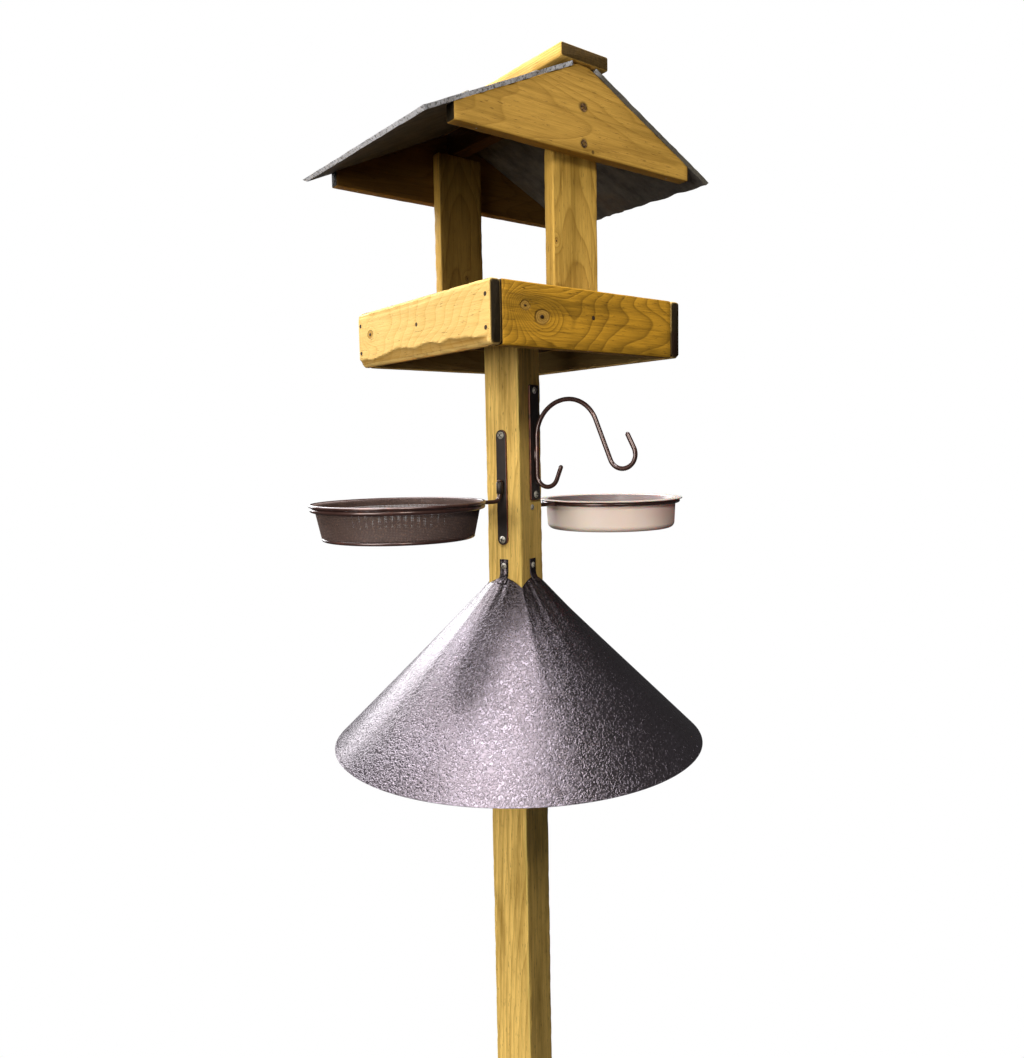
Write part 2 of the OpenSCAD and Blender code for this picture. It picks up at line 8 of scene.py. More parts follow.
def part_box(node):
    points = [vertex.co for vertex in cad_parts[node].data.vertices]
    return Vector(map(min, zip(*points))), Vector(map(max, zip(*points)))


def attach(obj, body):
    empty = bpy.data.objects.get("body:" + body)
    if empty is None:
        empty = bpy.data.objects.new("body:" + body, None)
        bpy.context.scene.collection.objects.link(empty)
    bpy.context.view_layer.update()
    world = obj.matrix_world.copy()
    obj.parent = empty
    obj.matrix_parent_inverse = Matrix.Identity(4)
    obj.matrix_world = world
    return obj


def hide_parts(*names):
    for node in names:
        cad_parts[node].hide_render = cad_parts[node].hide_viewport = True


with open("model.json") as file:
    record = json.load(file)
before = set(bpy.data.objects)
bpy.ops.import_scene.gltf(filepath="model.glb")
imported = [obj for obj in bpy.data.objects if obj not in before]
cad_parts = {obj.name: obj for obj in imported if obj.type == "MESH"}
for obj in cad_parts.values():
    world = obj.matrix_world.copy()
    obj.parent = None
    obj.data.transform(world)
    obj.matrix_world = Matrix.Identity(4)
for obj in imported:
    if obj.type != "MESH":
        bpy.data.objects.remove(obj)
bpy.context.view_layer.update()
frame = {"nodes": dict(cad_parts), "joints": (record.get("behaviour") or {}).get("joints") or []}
scene = bpy.context.scene

# ---------------------------------------------------------------------------------------------
# Camera. It stands to the front left of the table, at the height of the dishes, looks a little
# downwards and leans by a degree.
camera_at = Vector((-0.5871, -0.7629, 1.2040))
camera_lens, camera_shift = 29.07, (-0.0099, -0.0011)
camera_heading = math.radians(38.17)
camera_pitch = math.radians(-5.20)
camera_lean = math.radians(1.02)

camera_data = bpy.data.cameras.new("camera")
camera_data.lens = camera_lens
camera_data.sensor_width = 36
camera_data.shift_x, camera_data.shift_y = camera_shift
camera = bpy.data.objects.new("camera", camera_data)
camera.location = camera_at
camera.rotation_euler = Euler((math.radians(90) + camera_pitch, camera_lean, -camera_heading))
scene.collection.objects.link(camera)
scene.camera = camera

# ---------------------------------------------------------------------------------------------
# Studio. A lamp on the left makes the bright sides and one high in front the middle tones. A broad
# one overhead and one behind shine in the cone and along the wires. The backdrop is white where it
# is looked at, but lights the table only a little.
scene.view_settings.view_transform = "Standard"
backdrop_light = 0.045
floor_radius, floor_fade = 0.34, 0.12
up, to_back, to_right = Vector((0, 0, 1)), Vector((0, 1, 0)), Vector((1, 0, 0))


class Reading:
    """The output of a shader node. Arithmetic on it adds Math nodes to its material."""

    def __init__(self, finish, socket):
        self.finish = finish
        self.socket = socket

    def __getitem__(self, name):
        return Reading(self.finish, self.socket.node.outputs[name])

    def maths(self, operation, *values):
        return self.finish.node("ShaderNodeMath", {"operation": operation}, dict(enumerate(values)))

    def __add__(self, other):
        return self.maths("ADD", self, other)

    __radd__ = __add__

    def __sub__(self, other):
        return self.maths("SUBTRACT", self, other)

    def __rsub__(self, other):
        return self.maths("SUBTRACT", other, self)

    def __mul__(self, other):
        return self.maths("MULTIPLY", self, other)

    __rmul__ = __mul__

    def __truediv__(self, other):
        return self.maths("DIVIDE", self, other)

    def __pow__(self, power):
        return self.maths("POWER", self, power)

    def held(self):
        """The value kept between 0 and 1."""
        return self.finish.node("ShaderNodeClamp", {}, {"Value": self})

    def step(self, low, high):
        """0 below low and 1 above high, with a smooth rise between; low may be the larger."""
        return self.finish.node("ShaderNodeMapRange", {"interpolation_type": "SMOOTHSTEP"},
                                {"Value": self, "From Min": low, "From Max": high})


class Finish:
    """A procedural finish while it is built: its node tree and its shader."""

    def __init__(self, name, **constants):
        self.material = bpy.data.materials.new(name)
        self.material.use_nodes = True
        self.tree = self.material.node_tree
        self.shader = self.tree.nodes["Principled BSDF"]
        for socket, value in constants.items():
            self.shader.inputs[socket.replace("_", " ")].default_value = value

    def node(self, kind, settings=None, values=None):
        """A new node: its settings first, then the values or links of its sockets."""
        made = self.tree.nodes.new(kind)
        for name, value in (settings or {}).items():
            setattr(made, name, value)
        ready = [socket for socket in made.inputs if socket.enabled]
        for name, value in (values or {}).items():
            socket = ready[name] if isinstance(name, int) else next(s for s in ready if s.name == name)
            self.feed(socket, value)
        return Reading(self, next(s for s in made.outputs if s.enabled))

    def feed(self, socket, value):
        if isinstance(value, Reading):
            self.tree.links.new(value.socket, socket)
        else:
            socket.default_value = value

    def set(self, **values):
        """Links to the shader's own sockets."""
        for name, value in values.items():
            self.feed(self.shader.inputs[name.replace("_", " ")], value)

    def mix(self, share, first, second):
        return self.node("ShaderNodeMix", {"data_type": "RGBA", "clamp_factor": True},
                         {"Factor": share, "A": first, "B": second})

    def split(self, vector):
        """The X, Y and Z of a vector."""
        return self.node("ShaderNodeSeparateXYZ", {}, {0: vector})

    def vector(self, operation, *values):
        """A Vector Math node; its own sockets are read by name."""
        return self.node("ShaderNodeVectorMath", {"operation": operation}, dict(enumerate(values)))

    def place(self):
        """Where a point is on the table at rest."""
        return self.node("ShaderNodeTexCoord")["Object"]

    def mark(self, name):
        """A value that the piece's own mesh carries."""
        return self.node("ShaderNodeAttribute", {"attribute_name": name})

    def stretch(self, vector, by, move=(0, 0, 0)):
        return self.vector("MULTIPLY_ADD", vector, by, move)

    def cloud(self, vector, scale, detail=3, rough=0.5, twist=0):
        return self.node("ShaderNodeTexNoise", {}, {"Vector": vector, "Scale": scale, "Detail": detail,
                                                    "Roughness": rough, "Distortion": twist})

    def relief(self, height, depth, strength=1):
        """Bump of that depth in metres."""
        self.set(Normal=self.node("ShaderNodeBump", {}, {"Height": height, "Distance": depth,
                                                         "Strength": strength}))


def paint(red, green, blue):
    """A colour as the eye names it, 0 to 255, turned into the shader's own numbers."""
    def straight(value):
        value = value / 255
        return value / 12.92 if value <= 0.04045 else ((value + 0.055) / 1.055) ** 2.4
    return (straight(red), straight(green), straight(blue), 1)


def show(name, data):
    """An object for that data, put in the scene."""
    made = bpy.data.objects.new(name, data)
    scene.collection.objects.link(made)
    return made


def lamp(name, at, aim, size, power, tint):
    data = bpy.data.lights.new(name, "AREA")
    data.shape = "RECTANGLE"
    data.size, data.size_y = size
    data.energy = power
    data.color = tint
    made = show(name, data)
    made.location = at
    made.rotation_euler = (Vector(aim) - Vector(at)).to_track_quat("-Z", "Y").to_euler()


lamp("lamp_left", (-2.3, -0.75, 1.5), (0, 0, 1.05), (1.3, 1.5), 52, (1, 0.985, 0.93))
lamp("lamp_front", (-0.95, -2.2, 2.9), (0, 0, 1.15), (0.8, 0.8), 31, (1, 0.97, 0.88))
lamp("lamp_above", (-0.56, 1.15, 3.1), (-0.56, 1.15, 0), (2.0, 4.2), 270, (0.95, 0.965, 1))
lamp("lamp_back", (0.15, 2.9, 1.75), (0, 0, 0.95), (1.7, 1.2), 44, (0.96, 0.97, 1))

world = bpy.data.worlds.new("backdrop")
world.use_nodes = True
scene.world = world
sky = world.node_tree
lighting, seen = sky.nodes["Background"], sky.nodes.new("ShaderNodeBackground")
for background, strength in ((lighting, backdrop_light), (seen, 1.0)):
    background.inputs["Color"].default_value = (1, 1, 1, 1)
    background.inputs["Strength"].default_value = strength
ray = sky.nodes.new("ShaderNodeLightPath")
choice = sky.nodes.new("ShaderNodeMixShader")
sky.links.new(ray.outputs["Is Camera Ray"], choice.inputs["Fac"])
sky.links.new(lighting.outputs["Background"], choice.inputs[1])
sky.links.new(seen.outputs["Background"], choice.inputs[2])
sky.links.new(choice.outputs["Shader"], sky.nodes["World Output"].inputs["Surface"])


def bearing(angle):
    """The level direction at that angle from +X."""
    return Vector((math.cos(angle), math.sin(angle), 0))


def round_turn(sides):
    """Equal angles once round."""
    return [2 * math.pi * k / sides for k in range(sides)]


# Floor: a pale disc round the foot that fades into the backdrop.
floor_mesh = bpy.data.meshes.new("floor")
floor_rim = [bearing(angle) * floor_radius - up * 0.0005 for angle in round_turn(96)]
floor_mesh.from_pydata(floor_rim, [], [tuple(range(96))])
floor = show("floor", floor_mesh)
pale = Finish("pale_floor", Base_Color=paint(238, 237, 234), Roughness=0.8)
reach = pale.vector("LENGTH", pale.place())["Value"]
pale.set(Alpha=reach.step(floor_radius - 0.01, floor_fade))
floor.data.materials.append(pale.material)

# ---------------------------------------------------------------------------------------------
# Pole. Two lengths of planed square pine, one on the other, brushed with a thin yellow-brown
# stain. The lower one is a little thicker. Both are turned against the house by 18 degrees.
pole_turn = math.radians(18)
pole_ease = 0.0016
upper_side, lower_side = 0.045, 0.048
grid_step, edge_hold = 0.006, 0.0006
seed_shift = 0.37


class Skin:
    """The mesh of one piece, put together from rings of points, with marks for its finish."""

    def __init__(self):
        self.points = []
        self.faces = []
        self.marks = {"grain": [], "end": [], "edge": []}

    def add(self, point, grain=(0, 0, 0), end=0, edge=0):
        self.points.append(tuple(point))
        self.marks["grain"].append(grain)
        self.marks["end"].append(end)
        self.marks["edge"].append(edge)
        return len(self.points) - 1

    def rows(self, rows, around=True, back=False):
        """Faces between rows of points that are already there."""
        for near, far in zip(rows, rows[1:]):
            count = len(near)
            for k in range(count if around else count - 1):
                j = (k + 1) % count
                face = (near[k], near[j], far[j], far[k])
                self.faces.append(face[::-1] if back else face)

    def loft(self, rings, edges=None, closed=False):
        """A skin through rings of bare points. edges gives each ring's edge mark. It ends in caps,
        or runs on into its first ring."""
        rows = [[self.add(point, edge=edges[i] if edges else 0) for point in ring]
                for i, ring in enumerate(rings)]
        self.rows(rows + rows[:1] if closed else rows)
        if not closed:
            self.cap(rows[0], True)
            self.cap(rows[-1], False)

    def cap(self, row, flip, end=0):
        """Closes a row with triangles round its middle."""
        middle = sum((Vector(self.points[i]) for i in row), Vector()) / len(row)
        grains = [Vector(self.marks["grain"][i]) for i in row]
        centre = self.add(middle, tuple(sum(grains, Vector()) / len(row)), end, self.marks["edge"][row[0]])
        for a, b in zip(row, row[1:] + row[:1]):
            self.faces.append((centre, b, a) if flip else (centre, a, b))

    def piece(self, node, stuff, finish, body, sharp=40):
        """The finished mesh: it takes that node's place, on its body and in its material slot."""
        name = node + "_" + stuff
        mesh = bpy.data.meshes.new(name)
        mesh.from_pydata(self.points, [], self.faces)
        for mark, values in self.marks.items():
            if mark == "grain":
                layer = mesh.attributes.new(mark, "FLOAT_VECTOR", "POINT")
                layer.data.foreach_set("vector", [n for value in values for n in value])
            else:
                layer = mesh.attributes.new(mark, "FLOAT", "POINT")
                layer.data.foreach_set("value", values)
        mesh.polygons.foreach_set("use_smooth", [True] * len(mesh.polygons))
        mesh.set_sharp_from_angle(angle=math.radians(sharp))
        mesh.materials.append(finish.material)
        made = show(name, mesh)
        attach(made, body)
        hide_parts(node)


def dimmed(colour, *factors):
    """A colour with its channels multiplied, each by its own factor or all by the only one."""
    if len(factors) == 1:
        factors = factors * 3
    return tuple(min(1, c * f) for c, f in zip(colour, factors)) + (1,)


def wander(point, size, seed=0):
    """Smooth noise from -1 to 1 that changes over about that size."""
    return noise.noise(Vector(point) / size + Vector((seed * 7.31, seed * 3.17, seed * 5.77)))


class Timber:
    """A planed length of wood. u runs along it, v across its face and w out of its face, all from
    its middle; axes gives their directions. Its arrises are eased and its faces slightly uneven."""

    def __init__(self, middle, axes, size, ease=0.0012, pith=(0.0, -0.06), seed=1, rough=0.00025):
        self.middle = Vector(middle)
        self.axes = [Vector(axis) for axis in axes]
        self.length, self.height, self.thick = size
        self.ease = ease
        self.pith = pith
        self.seed = seed
        self.rough = rough
        self.low = lambda u: -self.height / 2
        self.high = lambda u: self.height / 2
        self.cut = lambda u, v: 0.0
        self.stops = []
        self.step = grid_step

    def section(self, u, shrink):
        """The outline at u, as (v, w, edge mark), anticlockwise seen from the far end."""
        low, high = self.low(u) + shrink, self.high(u) - shrink
        half = self.thick / 2 - shrink
        ease = max(self.ease - shrink * 0.6, self.ease * 0.3)
        across = max(2, round(self.height / self.step))
        deep = max(1, round(self.thick / self.step))
        corners = [(low, -half, 180), (high, -half, 270), (high, half, 0), (low, half, 90)]
        outline = []
        for k, (v, w, turn) in enumerate(corners):
            centre_v = v + ease * (1 if k in (0, 3) else -1)
            centre_w = w + ease * (1 if k in (0, 1) else -1)
            for part in range(4):
                angle = math.radians(turn + 90 * part / 3)
                # angles are measured in the plane of v to the right and w up
                away = (math.cos(angle), math.sin(angle))
                outline.append((centre_v + ease * away[0], centre_w + ease * away[1], 1.0))
            next_v, next_w = corners[(k + 1) % 4][:2]
            next_v += ease * (1 if (k + 1) % 4 in (0, 3) else -1)
            next_w += ease * (1 if (k + 1) % 4 in (0, 1) else -1)
            runs_v = k in (0, 2)
            steps = across if runs_v else deep
            start, stop = (centre_v, next_v) if runs_v else (centre_w, next_w)
            side = math.copysign(edge_hold, stop - start)
            for part in range(steps + 1):
                reach = start + side + (stop - start - 2 * side) * part / steps
                outline.append((reach, w, 0.0) if runs_v else (v, reach, 0.0))
        return outline

    def carve(self, node, finish, slot="treated_pine"):
        """Makes the mesh and puts it in the place of that node."""
        skin = Skin()
        half = self.length / 2
        inner = half - self.ease
        count = max(2, round(2 * inner / max(self.step, self.length / 170)))
        places = [(-half, self.ease, 1.0), (-half + self.ease * 0.3, self.ease * 0.3, 0.6)]
        along = sorted({-inner + 2 * inner * k / count for k in range(count + 1)} | set(self.stops))
        places += [(u, 0.0, 0.0) for u in along]
        places += [(half - self.ease * 0.3, self.ease * 0.3, 0.6), (half, self.ease, 1.0)]
        u_axis, v_axis, w_axis = self.axes
        rows = []
        for u, shrink, end in places:
            row = []
            for v, w, edge in self.section(u, shrink):
                spot = (u, v, w)
                dent = self.rough * (0.55 + 0.45 * wander(spot, 0.035, self.seed))
                if edge:
                    dent += self.ease * 0.45 * max(0.0, wander(spot, 0.011, self.seed + 3))
                side_v = (v > 0) - (v < 0) if abs(w) < self.thick / 2 - self.ease or edge else 0
                side_w = (w > 0) - (w < 0) if abs(w) > self.thick / 2 - self.ease * 1.2 - shrink else 0
                w_new = w - side_w * dent
                v_new = v - side_v * dent
                if w > 0:
                    fall = self.cut(u, v)
                    w_new -= fall
                    edge = max(edge, min(0.5, fall / 0.003)) if fall > 0.0005 else edge
                point = self.middle + u_axis * u + v_axis * v_new + w_axis * w_new
                grain = (u + self.seed * seed_shift, v - self.pith[0], w - self.pith[1])
                row.append(skin.add(point, grain, end, edge))
            rows.append(row)
        skin.rows(rows, back=True)
        skin.cap(rows[0], False, 1.0)
        skin.cap(rows[-1], True, 1.0)
        skin.piece(node, "wood", finish, "root")


def pine(name, light, dark, end_colour, gap=0.0022, contrast=0.55, knots=(), stains=(), streaky=0.35,
         patch=0.35, slope=0.12, shaded=0.0, under=0.0):
    """Stained pine. The growth rings are cylinders round the pith, warped by slow noise and pushed
    aside by each knot (u, v, radius); stains are dark spots round fixings (point, radius). Faces
    that point to -Y are darkened by the share in shaded, as if in shadow; with under, faces that
    point to -X too, and only below that height."""
    wood = Finish(name, Specular_IOR_Level=0.2)
    grain = wood.mark("grain")["Vector"]
    parts = wood.split(grain)
    u, v, w = parts["X"], parts["Y"], parts["Z"]
    slow = wood.cloud(wood.stretch(grain, (3.2, 13, 13)), 1, 2) - 0.5
    quick = wood.cloud(wood.stretch(grain, (16, 70, 70)), 1, 2) - 0.5
    across = v + slow * 0.024 + quick * 0.0045
    depth = w + u * slope * 0.2 + slow * 0.018
    radius = (across * across + depth * depth) ** 0.5
    core = None
    for knot_u, knot_v, size in knots:
        off = wood.node("ShaderNodeCombineXYZ", {}, {0: (u - knot_u) * 0.75, 1: v - knot_v, 2: 0.0})
        away = wood.vector("LENGTH", off)["Value"]
        spread = away / (size * 2.6)
        swell = (spread * spread * -1.0).maths("EXPONENT", spread * spread * -1.0)
        radius = radius + swell * size * 1.5
        rim = (away + quick * size * 1.1) / size
        core = rim if core is None else core.maths("MINIMUM", core, rim)
    rings = radius / gap
    tooth = rings.maths("FRACT", rings)
    late = (tooth ** 1.8) * (1 - tooth.step(0.88, 1.0))
    fibre = wood.cloud(wood.stretch(grain, (28, 900, 900)), 1, 3, 0.6)
    hair = wood.cloud(wood.stretch(grain, (60, 2600, 2600)), 1, 2, 0.6)
    streak = wood.cloud(wood.stretch(grain, (9, 240, 240), (2, 5, 3)), 1, 4, 0.65).step(0.44, 0.70)
    cloudy = wood.cloud(wood.stretch(grain, (7, 38, 38), (3, 1, 2)), 1, 4, 0.6)
    fleck = wood.cloud(wood.stretch(grain, (90, 700, 700), (5, 2, 1)), 1, 2, 0.7).step(0.62, 0.74)
    colour = wood.mix(late * contrast + (fibre - 0.5) * 0.6, light, dark)
    colour = wood.mix(late.step(0.55, 0.95) * contrast * 0.55, colour, dimmed(dark, 0.42, 0.40, 0.36))
    colour = wood.mix(streak * streaky, colour, dimmed(dark, 0.62))
    colour = wood.mix(cloudy.step(0.42, 0.72) * patch, colour, dimmed(dark, 0.66, 0.74, 0.66))
    colour = wood.mix(fleck * 0.65, colour, dimmed(dark, 0.25))
    colour = wood.mix(hair.step(0.35, 0.75) * 0.28, colour, dimmed(dark, 0.5))
    if core is not None:
        turns = core.maths("FRACT", core * 4.0)
        heart = wood.mix(turns * 0.6 + quick, paint(186, 142, 62), paint(104, 70, 22))
        heart = wood.mix(core.step(0.42, 0.22), heart, paint(44, 27, 8))
        colour = wood.mix(core.step(1.1, 0.8), colour, heart)
        bark = core.step(0.80, 0.98) * core.step(1.18, 1.0)
        colour = wood.mix(bark * 0.55, colour, paint(58, 38, 10))
    place = wood.place()
    for point, radius in stains:
        away = wood.vector("DISTANCE", place, point)["Value"]
        ring = (away + quick * radius * 1.6).step(radius, radius * 0.45)
        colour = wood.mix(ring * 0.72, colour, paint(44, 28, 12))
    end = wood.mark("end")["Fac"]
    saw = wood.cloud(wood.stretch(place, (420, 420, 150)), 1, 3, 0.65)
    end_tone = wood.mix(saw.step(0.3, 0.75), end_colour, dimmed(end_colour, 1.5))
    colour = wood.mix(end.step(0.4, 0.85), colour, end_tone)
    edge = wood.mark("edge")["Fac"]
    # Painted shade: surfaces that fall back from the face, such as the wane, are darkened in streaks.
    natural = edge.step(0.12, 0.3) * edge.step(0.8, 0.6) * (1 - end)
    colour = wood.mix(natural * (streak * 0.35 + 0.45), colour, dimmed(dark, 0.72))
    # Arrises lightened in patches: partly stain worn off, partly a painted highlight on the eased edges.
    worn = edge.step(0.7, 1.0) * cloudy.step(0.35, 0.6) * (1 - end)
    colour = wood.mix(worn * 0.35, colour, dimmed(light, 1.25))
    if shaded:
        facing = wood.split(wood.node("ShaderNodeNewGeometry")["Normal"])
        hidden = facing["Y"].step(-0.3, -0.8)
        if under:
            below = wood.split(place)["Z"].step(under + 0.004, under - 0.002)
            hidden = (hidden + facing["X"].step(-0.3, -0.8)) * below
        colour = wood.mix((hidden * shaded).held(), colour, paint(34, 15, 4))
    wood.set(Base_Color=colour, Roughness=(fibre * 0.22 + 0.5 + late * 0.08).held())
    height = late * 0.45 + fibre * 0.5 + hair * 0.35 + end * saw * 2.0 - fleck * 0.4
    if core is not None:
        height = height + core.step(1.15, 0.9) * 1.2 - core.step(0.35, 0.15) * 2.0
    wood.relief(height, 0.00035, 0.8)
    return wood


pole_light = paint(252, 210, 118)
pole_dark = paint(152, 106, 16)
end_dark = paint(31, 22, 6)


def pole_length(node, side, seed, finish):
    low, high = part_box(node)
    out = bearing(pole_turn + math.pi)
    middle = up * (low.z + high.z) / 2
    wood = Timber(middle, (up, up.cross(out), out), (high.z - low.z, side, side), pole_ease,
                  (0.042, -0.048), seed, 0.00035)
    wood.carve(node, finish)


pole_pine = pine("pole_pine", pole_light, pole_dark, end_dark, gap=0.0026, contrast=0.40, patch=0.55)
pole_length("pole_lower", lower_side, 3, pole_pine)
pole_length("pole_upper", upper_side, 4, pole_pine)

# ---------------------------------------------------------------------------------------------
# Tray. Four pine boards nailed at the corners; the side boards' ends show and have weathered
# nearly black. The left board is cut from the edge of the log, so its lower edge is waney.
wane_line, wane_deep, wane_slope = 0.012, 0.0060, 0.42
wane_top = 0.008


def middle_and_size(node):
    low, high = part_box(node)
    return (low + high) / 2, high - low


def upright_board(node, along, out, seed, pith, rough=0.0003):
    """A board on edge: it lies along that direction and its face looks out."""
    middle, size = middle_and_size(node)
    length = abs(size.dot(along))
    thick = abs(size.dot(out))
    ease = 0.0030 if abs(along.y) else 0.0014
    return Timber(middle, (along, up, out), (length, size.z, thick), ease, pith, seed, rough)


board_bright = pine("tray_board_pine", paint(236, 198, 118), paint(190, 138, 58), end_dark,
                    gap=0.0022, contrast=0.40, patch=0.30, shaded=0.78, under=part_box("tray_floor")[0].z)
house_x = middle_and_size("tray_board_front")[0].x


def knot_at(along, height, radius, wood):
    """A knot's place in that board's own grain numbers, from its middle and its lower edge."""
    return (along + wood.seed * seed_shift, height - wood.height / 2 - wood.pith[0], radius)


left_board = upright_board("tray_board_left", -to_back, -to_right, 5, (0.004, -0.075), 0.0004)


def wane(u, v):
    """How far the lower edge's natural surface falls back from the sawn face, with a slighter
    ledge near the top; both end before the front corner."""
    def share(value):
        return max(0.0, min(1.0, value))
    half = left_board.height / 2
    line = -half + wane_line + 0.007 * wander((u, 0, 0), 0.060, 2) + 0.004 * wander((u, 0, 1), 0.022, 4)
    top_line = half - wane_top + 0.006 * wander((u, 3, 0), 0.07, 6)
    low_part = share((line - v) / 0.0018) * 0.0014 + max(0.0, line - v) * wane_slope
    high_part = share((v - top_line) / 0.002) * 0.0006
    return (min(wane_deep, low_part) + high_part) * share((left_board.length / 2 - 0.002 - u) / 0.02)


left_board.cut = wane
left_board.step = 0.0015
left_pine = pine("tray_left_pine", paint(228, 190, 114), paint(194, 140, 54), end_dark, gap=0.0017,
                 contrast=0.30, patch=0.15, slope=0.35, streaky=0.22,
                 knots=[knot_at(-0.098, 0.034, 0.0040, left_board)])
left_board.carve("tray_board_left", left_pine)

right_board = upright_board("tray_board_right", to_back, to_right, 6, (-0.010, -0.05))
right_board.carve("tray_board_right", board_bright)

front_board = upright_board("tray_board_front", to_right, -to_back, 7, (0.006, -0.045), 0.0003)
front_knots = [knot_at(-0.066, 0.029, 0.0070, front_board), knot_at(-0.086, 0.038, 0.0050, front_board)]
front_pine = pine("tray_front_pine", paint(208, 152, 42), paint(120, 84, 12), end_dark, gap=0.0013,
                  contrast=0.62, patch=0.75, slope=0.30, knots=front_knots, streaky=0.5)
front_board.carve("tray_board_front", front_pine)

back_board = upright_board("tray_board_back", -to_right, to_back, 8, (0.002, -0.07))
back_board.carve("tray_board_back", board_bright)

# Floor of the tray: one flat panel of the same pine inside the boards, left rough. Its darker
# colour is painted shade.
floor_middle, floor_size = middle_and_size("tray_floor")
floor_wood = Timber(floor_middle, (to_right, to_back, up), floor_size, 0.0010, (0.03, -0.09), 9, 0.0003)
painted_shade_pine = pine("shaded_pine", paint(96, 62, 20), paint(58, 36, 10), end_dark, gap=0.0022,
                  contrast=0.5, patch=0.5)
floor_wood.carve("tray_floor", painted_shade_pine, "shaded_pine")

# ---------------------------------------------------------------------------------------------
# Roof posts. Two flat uprights stand on the tray's floor and carry a gable each.
for node, out, seed in (("roof_post_front", -to_back, 11), ("roof_post_back", to_back, 12)):
    middle, size = middle_and_size(node)
    post = Timber(middle, (up, out.cross(up), out), (size.z, size.x, size.y), 0.0016,
                  (0.012 if seed == 11 else -0.008, -0.04), seed, 0.0004)
    post_pine = pine(node + "_pine", paint(214, 170, 80), paint(146, 102, 26), end_dark, gap=0.0018,
                     contrast=0.45, patch=0.50, streaky=0.45, shaded=0.6 if seed == 12 else 0.0,
                     knots=[(-0.035 + seed * seed_shift, 0.014, 0.0022)])
    post.carve(node, post_pine)

# ---------------------------------------------------------------------------------------------
# Gables. Two low triangles with blunt ends, cut from one wide board each, screwed to the posts
# through the face. The screws have bruised and stained the wood round them.
gable_end = 0.015
roof_pitch = math.radians(25)
gable_drop = (0.012, 0.046)
post_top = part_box("roof_post_front")[1].z


def gable(node, out, seed, light, dark, shaded=0.0):
    middle, size = middle_and_size(node)
    board = Timber(middle, (up.cross(out), up, out), (size.x, size.z, size.y), 0.0011, (-0.02, -0.07),
                   seed, 0.0003)
    half = size.x / 2
    flat = half - (size.z - gable_end) / math.tan(roof_pitch)
    board.high = lambda u: (min(size.z, gable_end + 0.001 + (half - abs(u)) * math.tan(roof_pitch))
                            - size.z / 2)
    board.stops = [-flat, flat]
    face_y = middle.y + out.y * size.y / 2
    holes = [((middle.x, face_y, post_top - drop), 0.0062) for drop in gable_drop]
    holes.append(((middle.x + 0.012, face_y, post_top - gable_drop[1] - 0.006), 0.0028))
    finish = pine(node + "_pine", light, dark, end_dark, gap=0.0017, contrast=0.34, patch=0.35,
                  stains=holes, shaded=shaded)
    board.carve(node, finish)


gable("gable_front", -to_back, 13, paint(202, 156, 70), paint(140, 98, 26))
gable("gable_back", to_back, 14, paint(190, 140, 62), paint(130, 84, 26), 0.7)

cap_pine = pine("ridge_cap_pine", paint(230, 184, 92), paint(150, 104, 30), paint(66, 48, 16),
                gap=0.0024, contrast=0.4, patch=0.3)

# Ridge: a square batten between the gables, and a flat cap board over the joint of the slates that
# is screwed into it.
# The batten takes the tray floor's darker pine, as painted shade under the roof.
for node, ease, pith, seed, finish, slot in (
        ("ridge_batten", 0.0012, (0.0, -0.04), 15, painted_shade_pine, "shaded_pine"),
        ("ridge_cap", 0.0016, (0.008, -0.05), 16, cap_pine, "treated_pine")):
    middle, size = middle_and_size(node)
    stick = Timber(middle, (to_back, -to_right, up), (size.y, size.x, size.z), ease, pith, seed, 0.0004)
    stick.carve(node, finish, slot)

# ---------------------------------------------------------------------------------------------
# Slates. Two riven plates, one on each slope, nailed to the gables. Their faces are uneven, and
# their dressed edges are chipped back from below. The left one's chips are bright, as if in strong
# light, and the right one's dull.
slate_thick = 0.0045
slate_rows, slate_columns = 34, 46
chip_deep = 0.0032


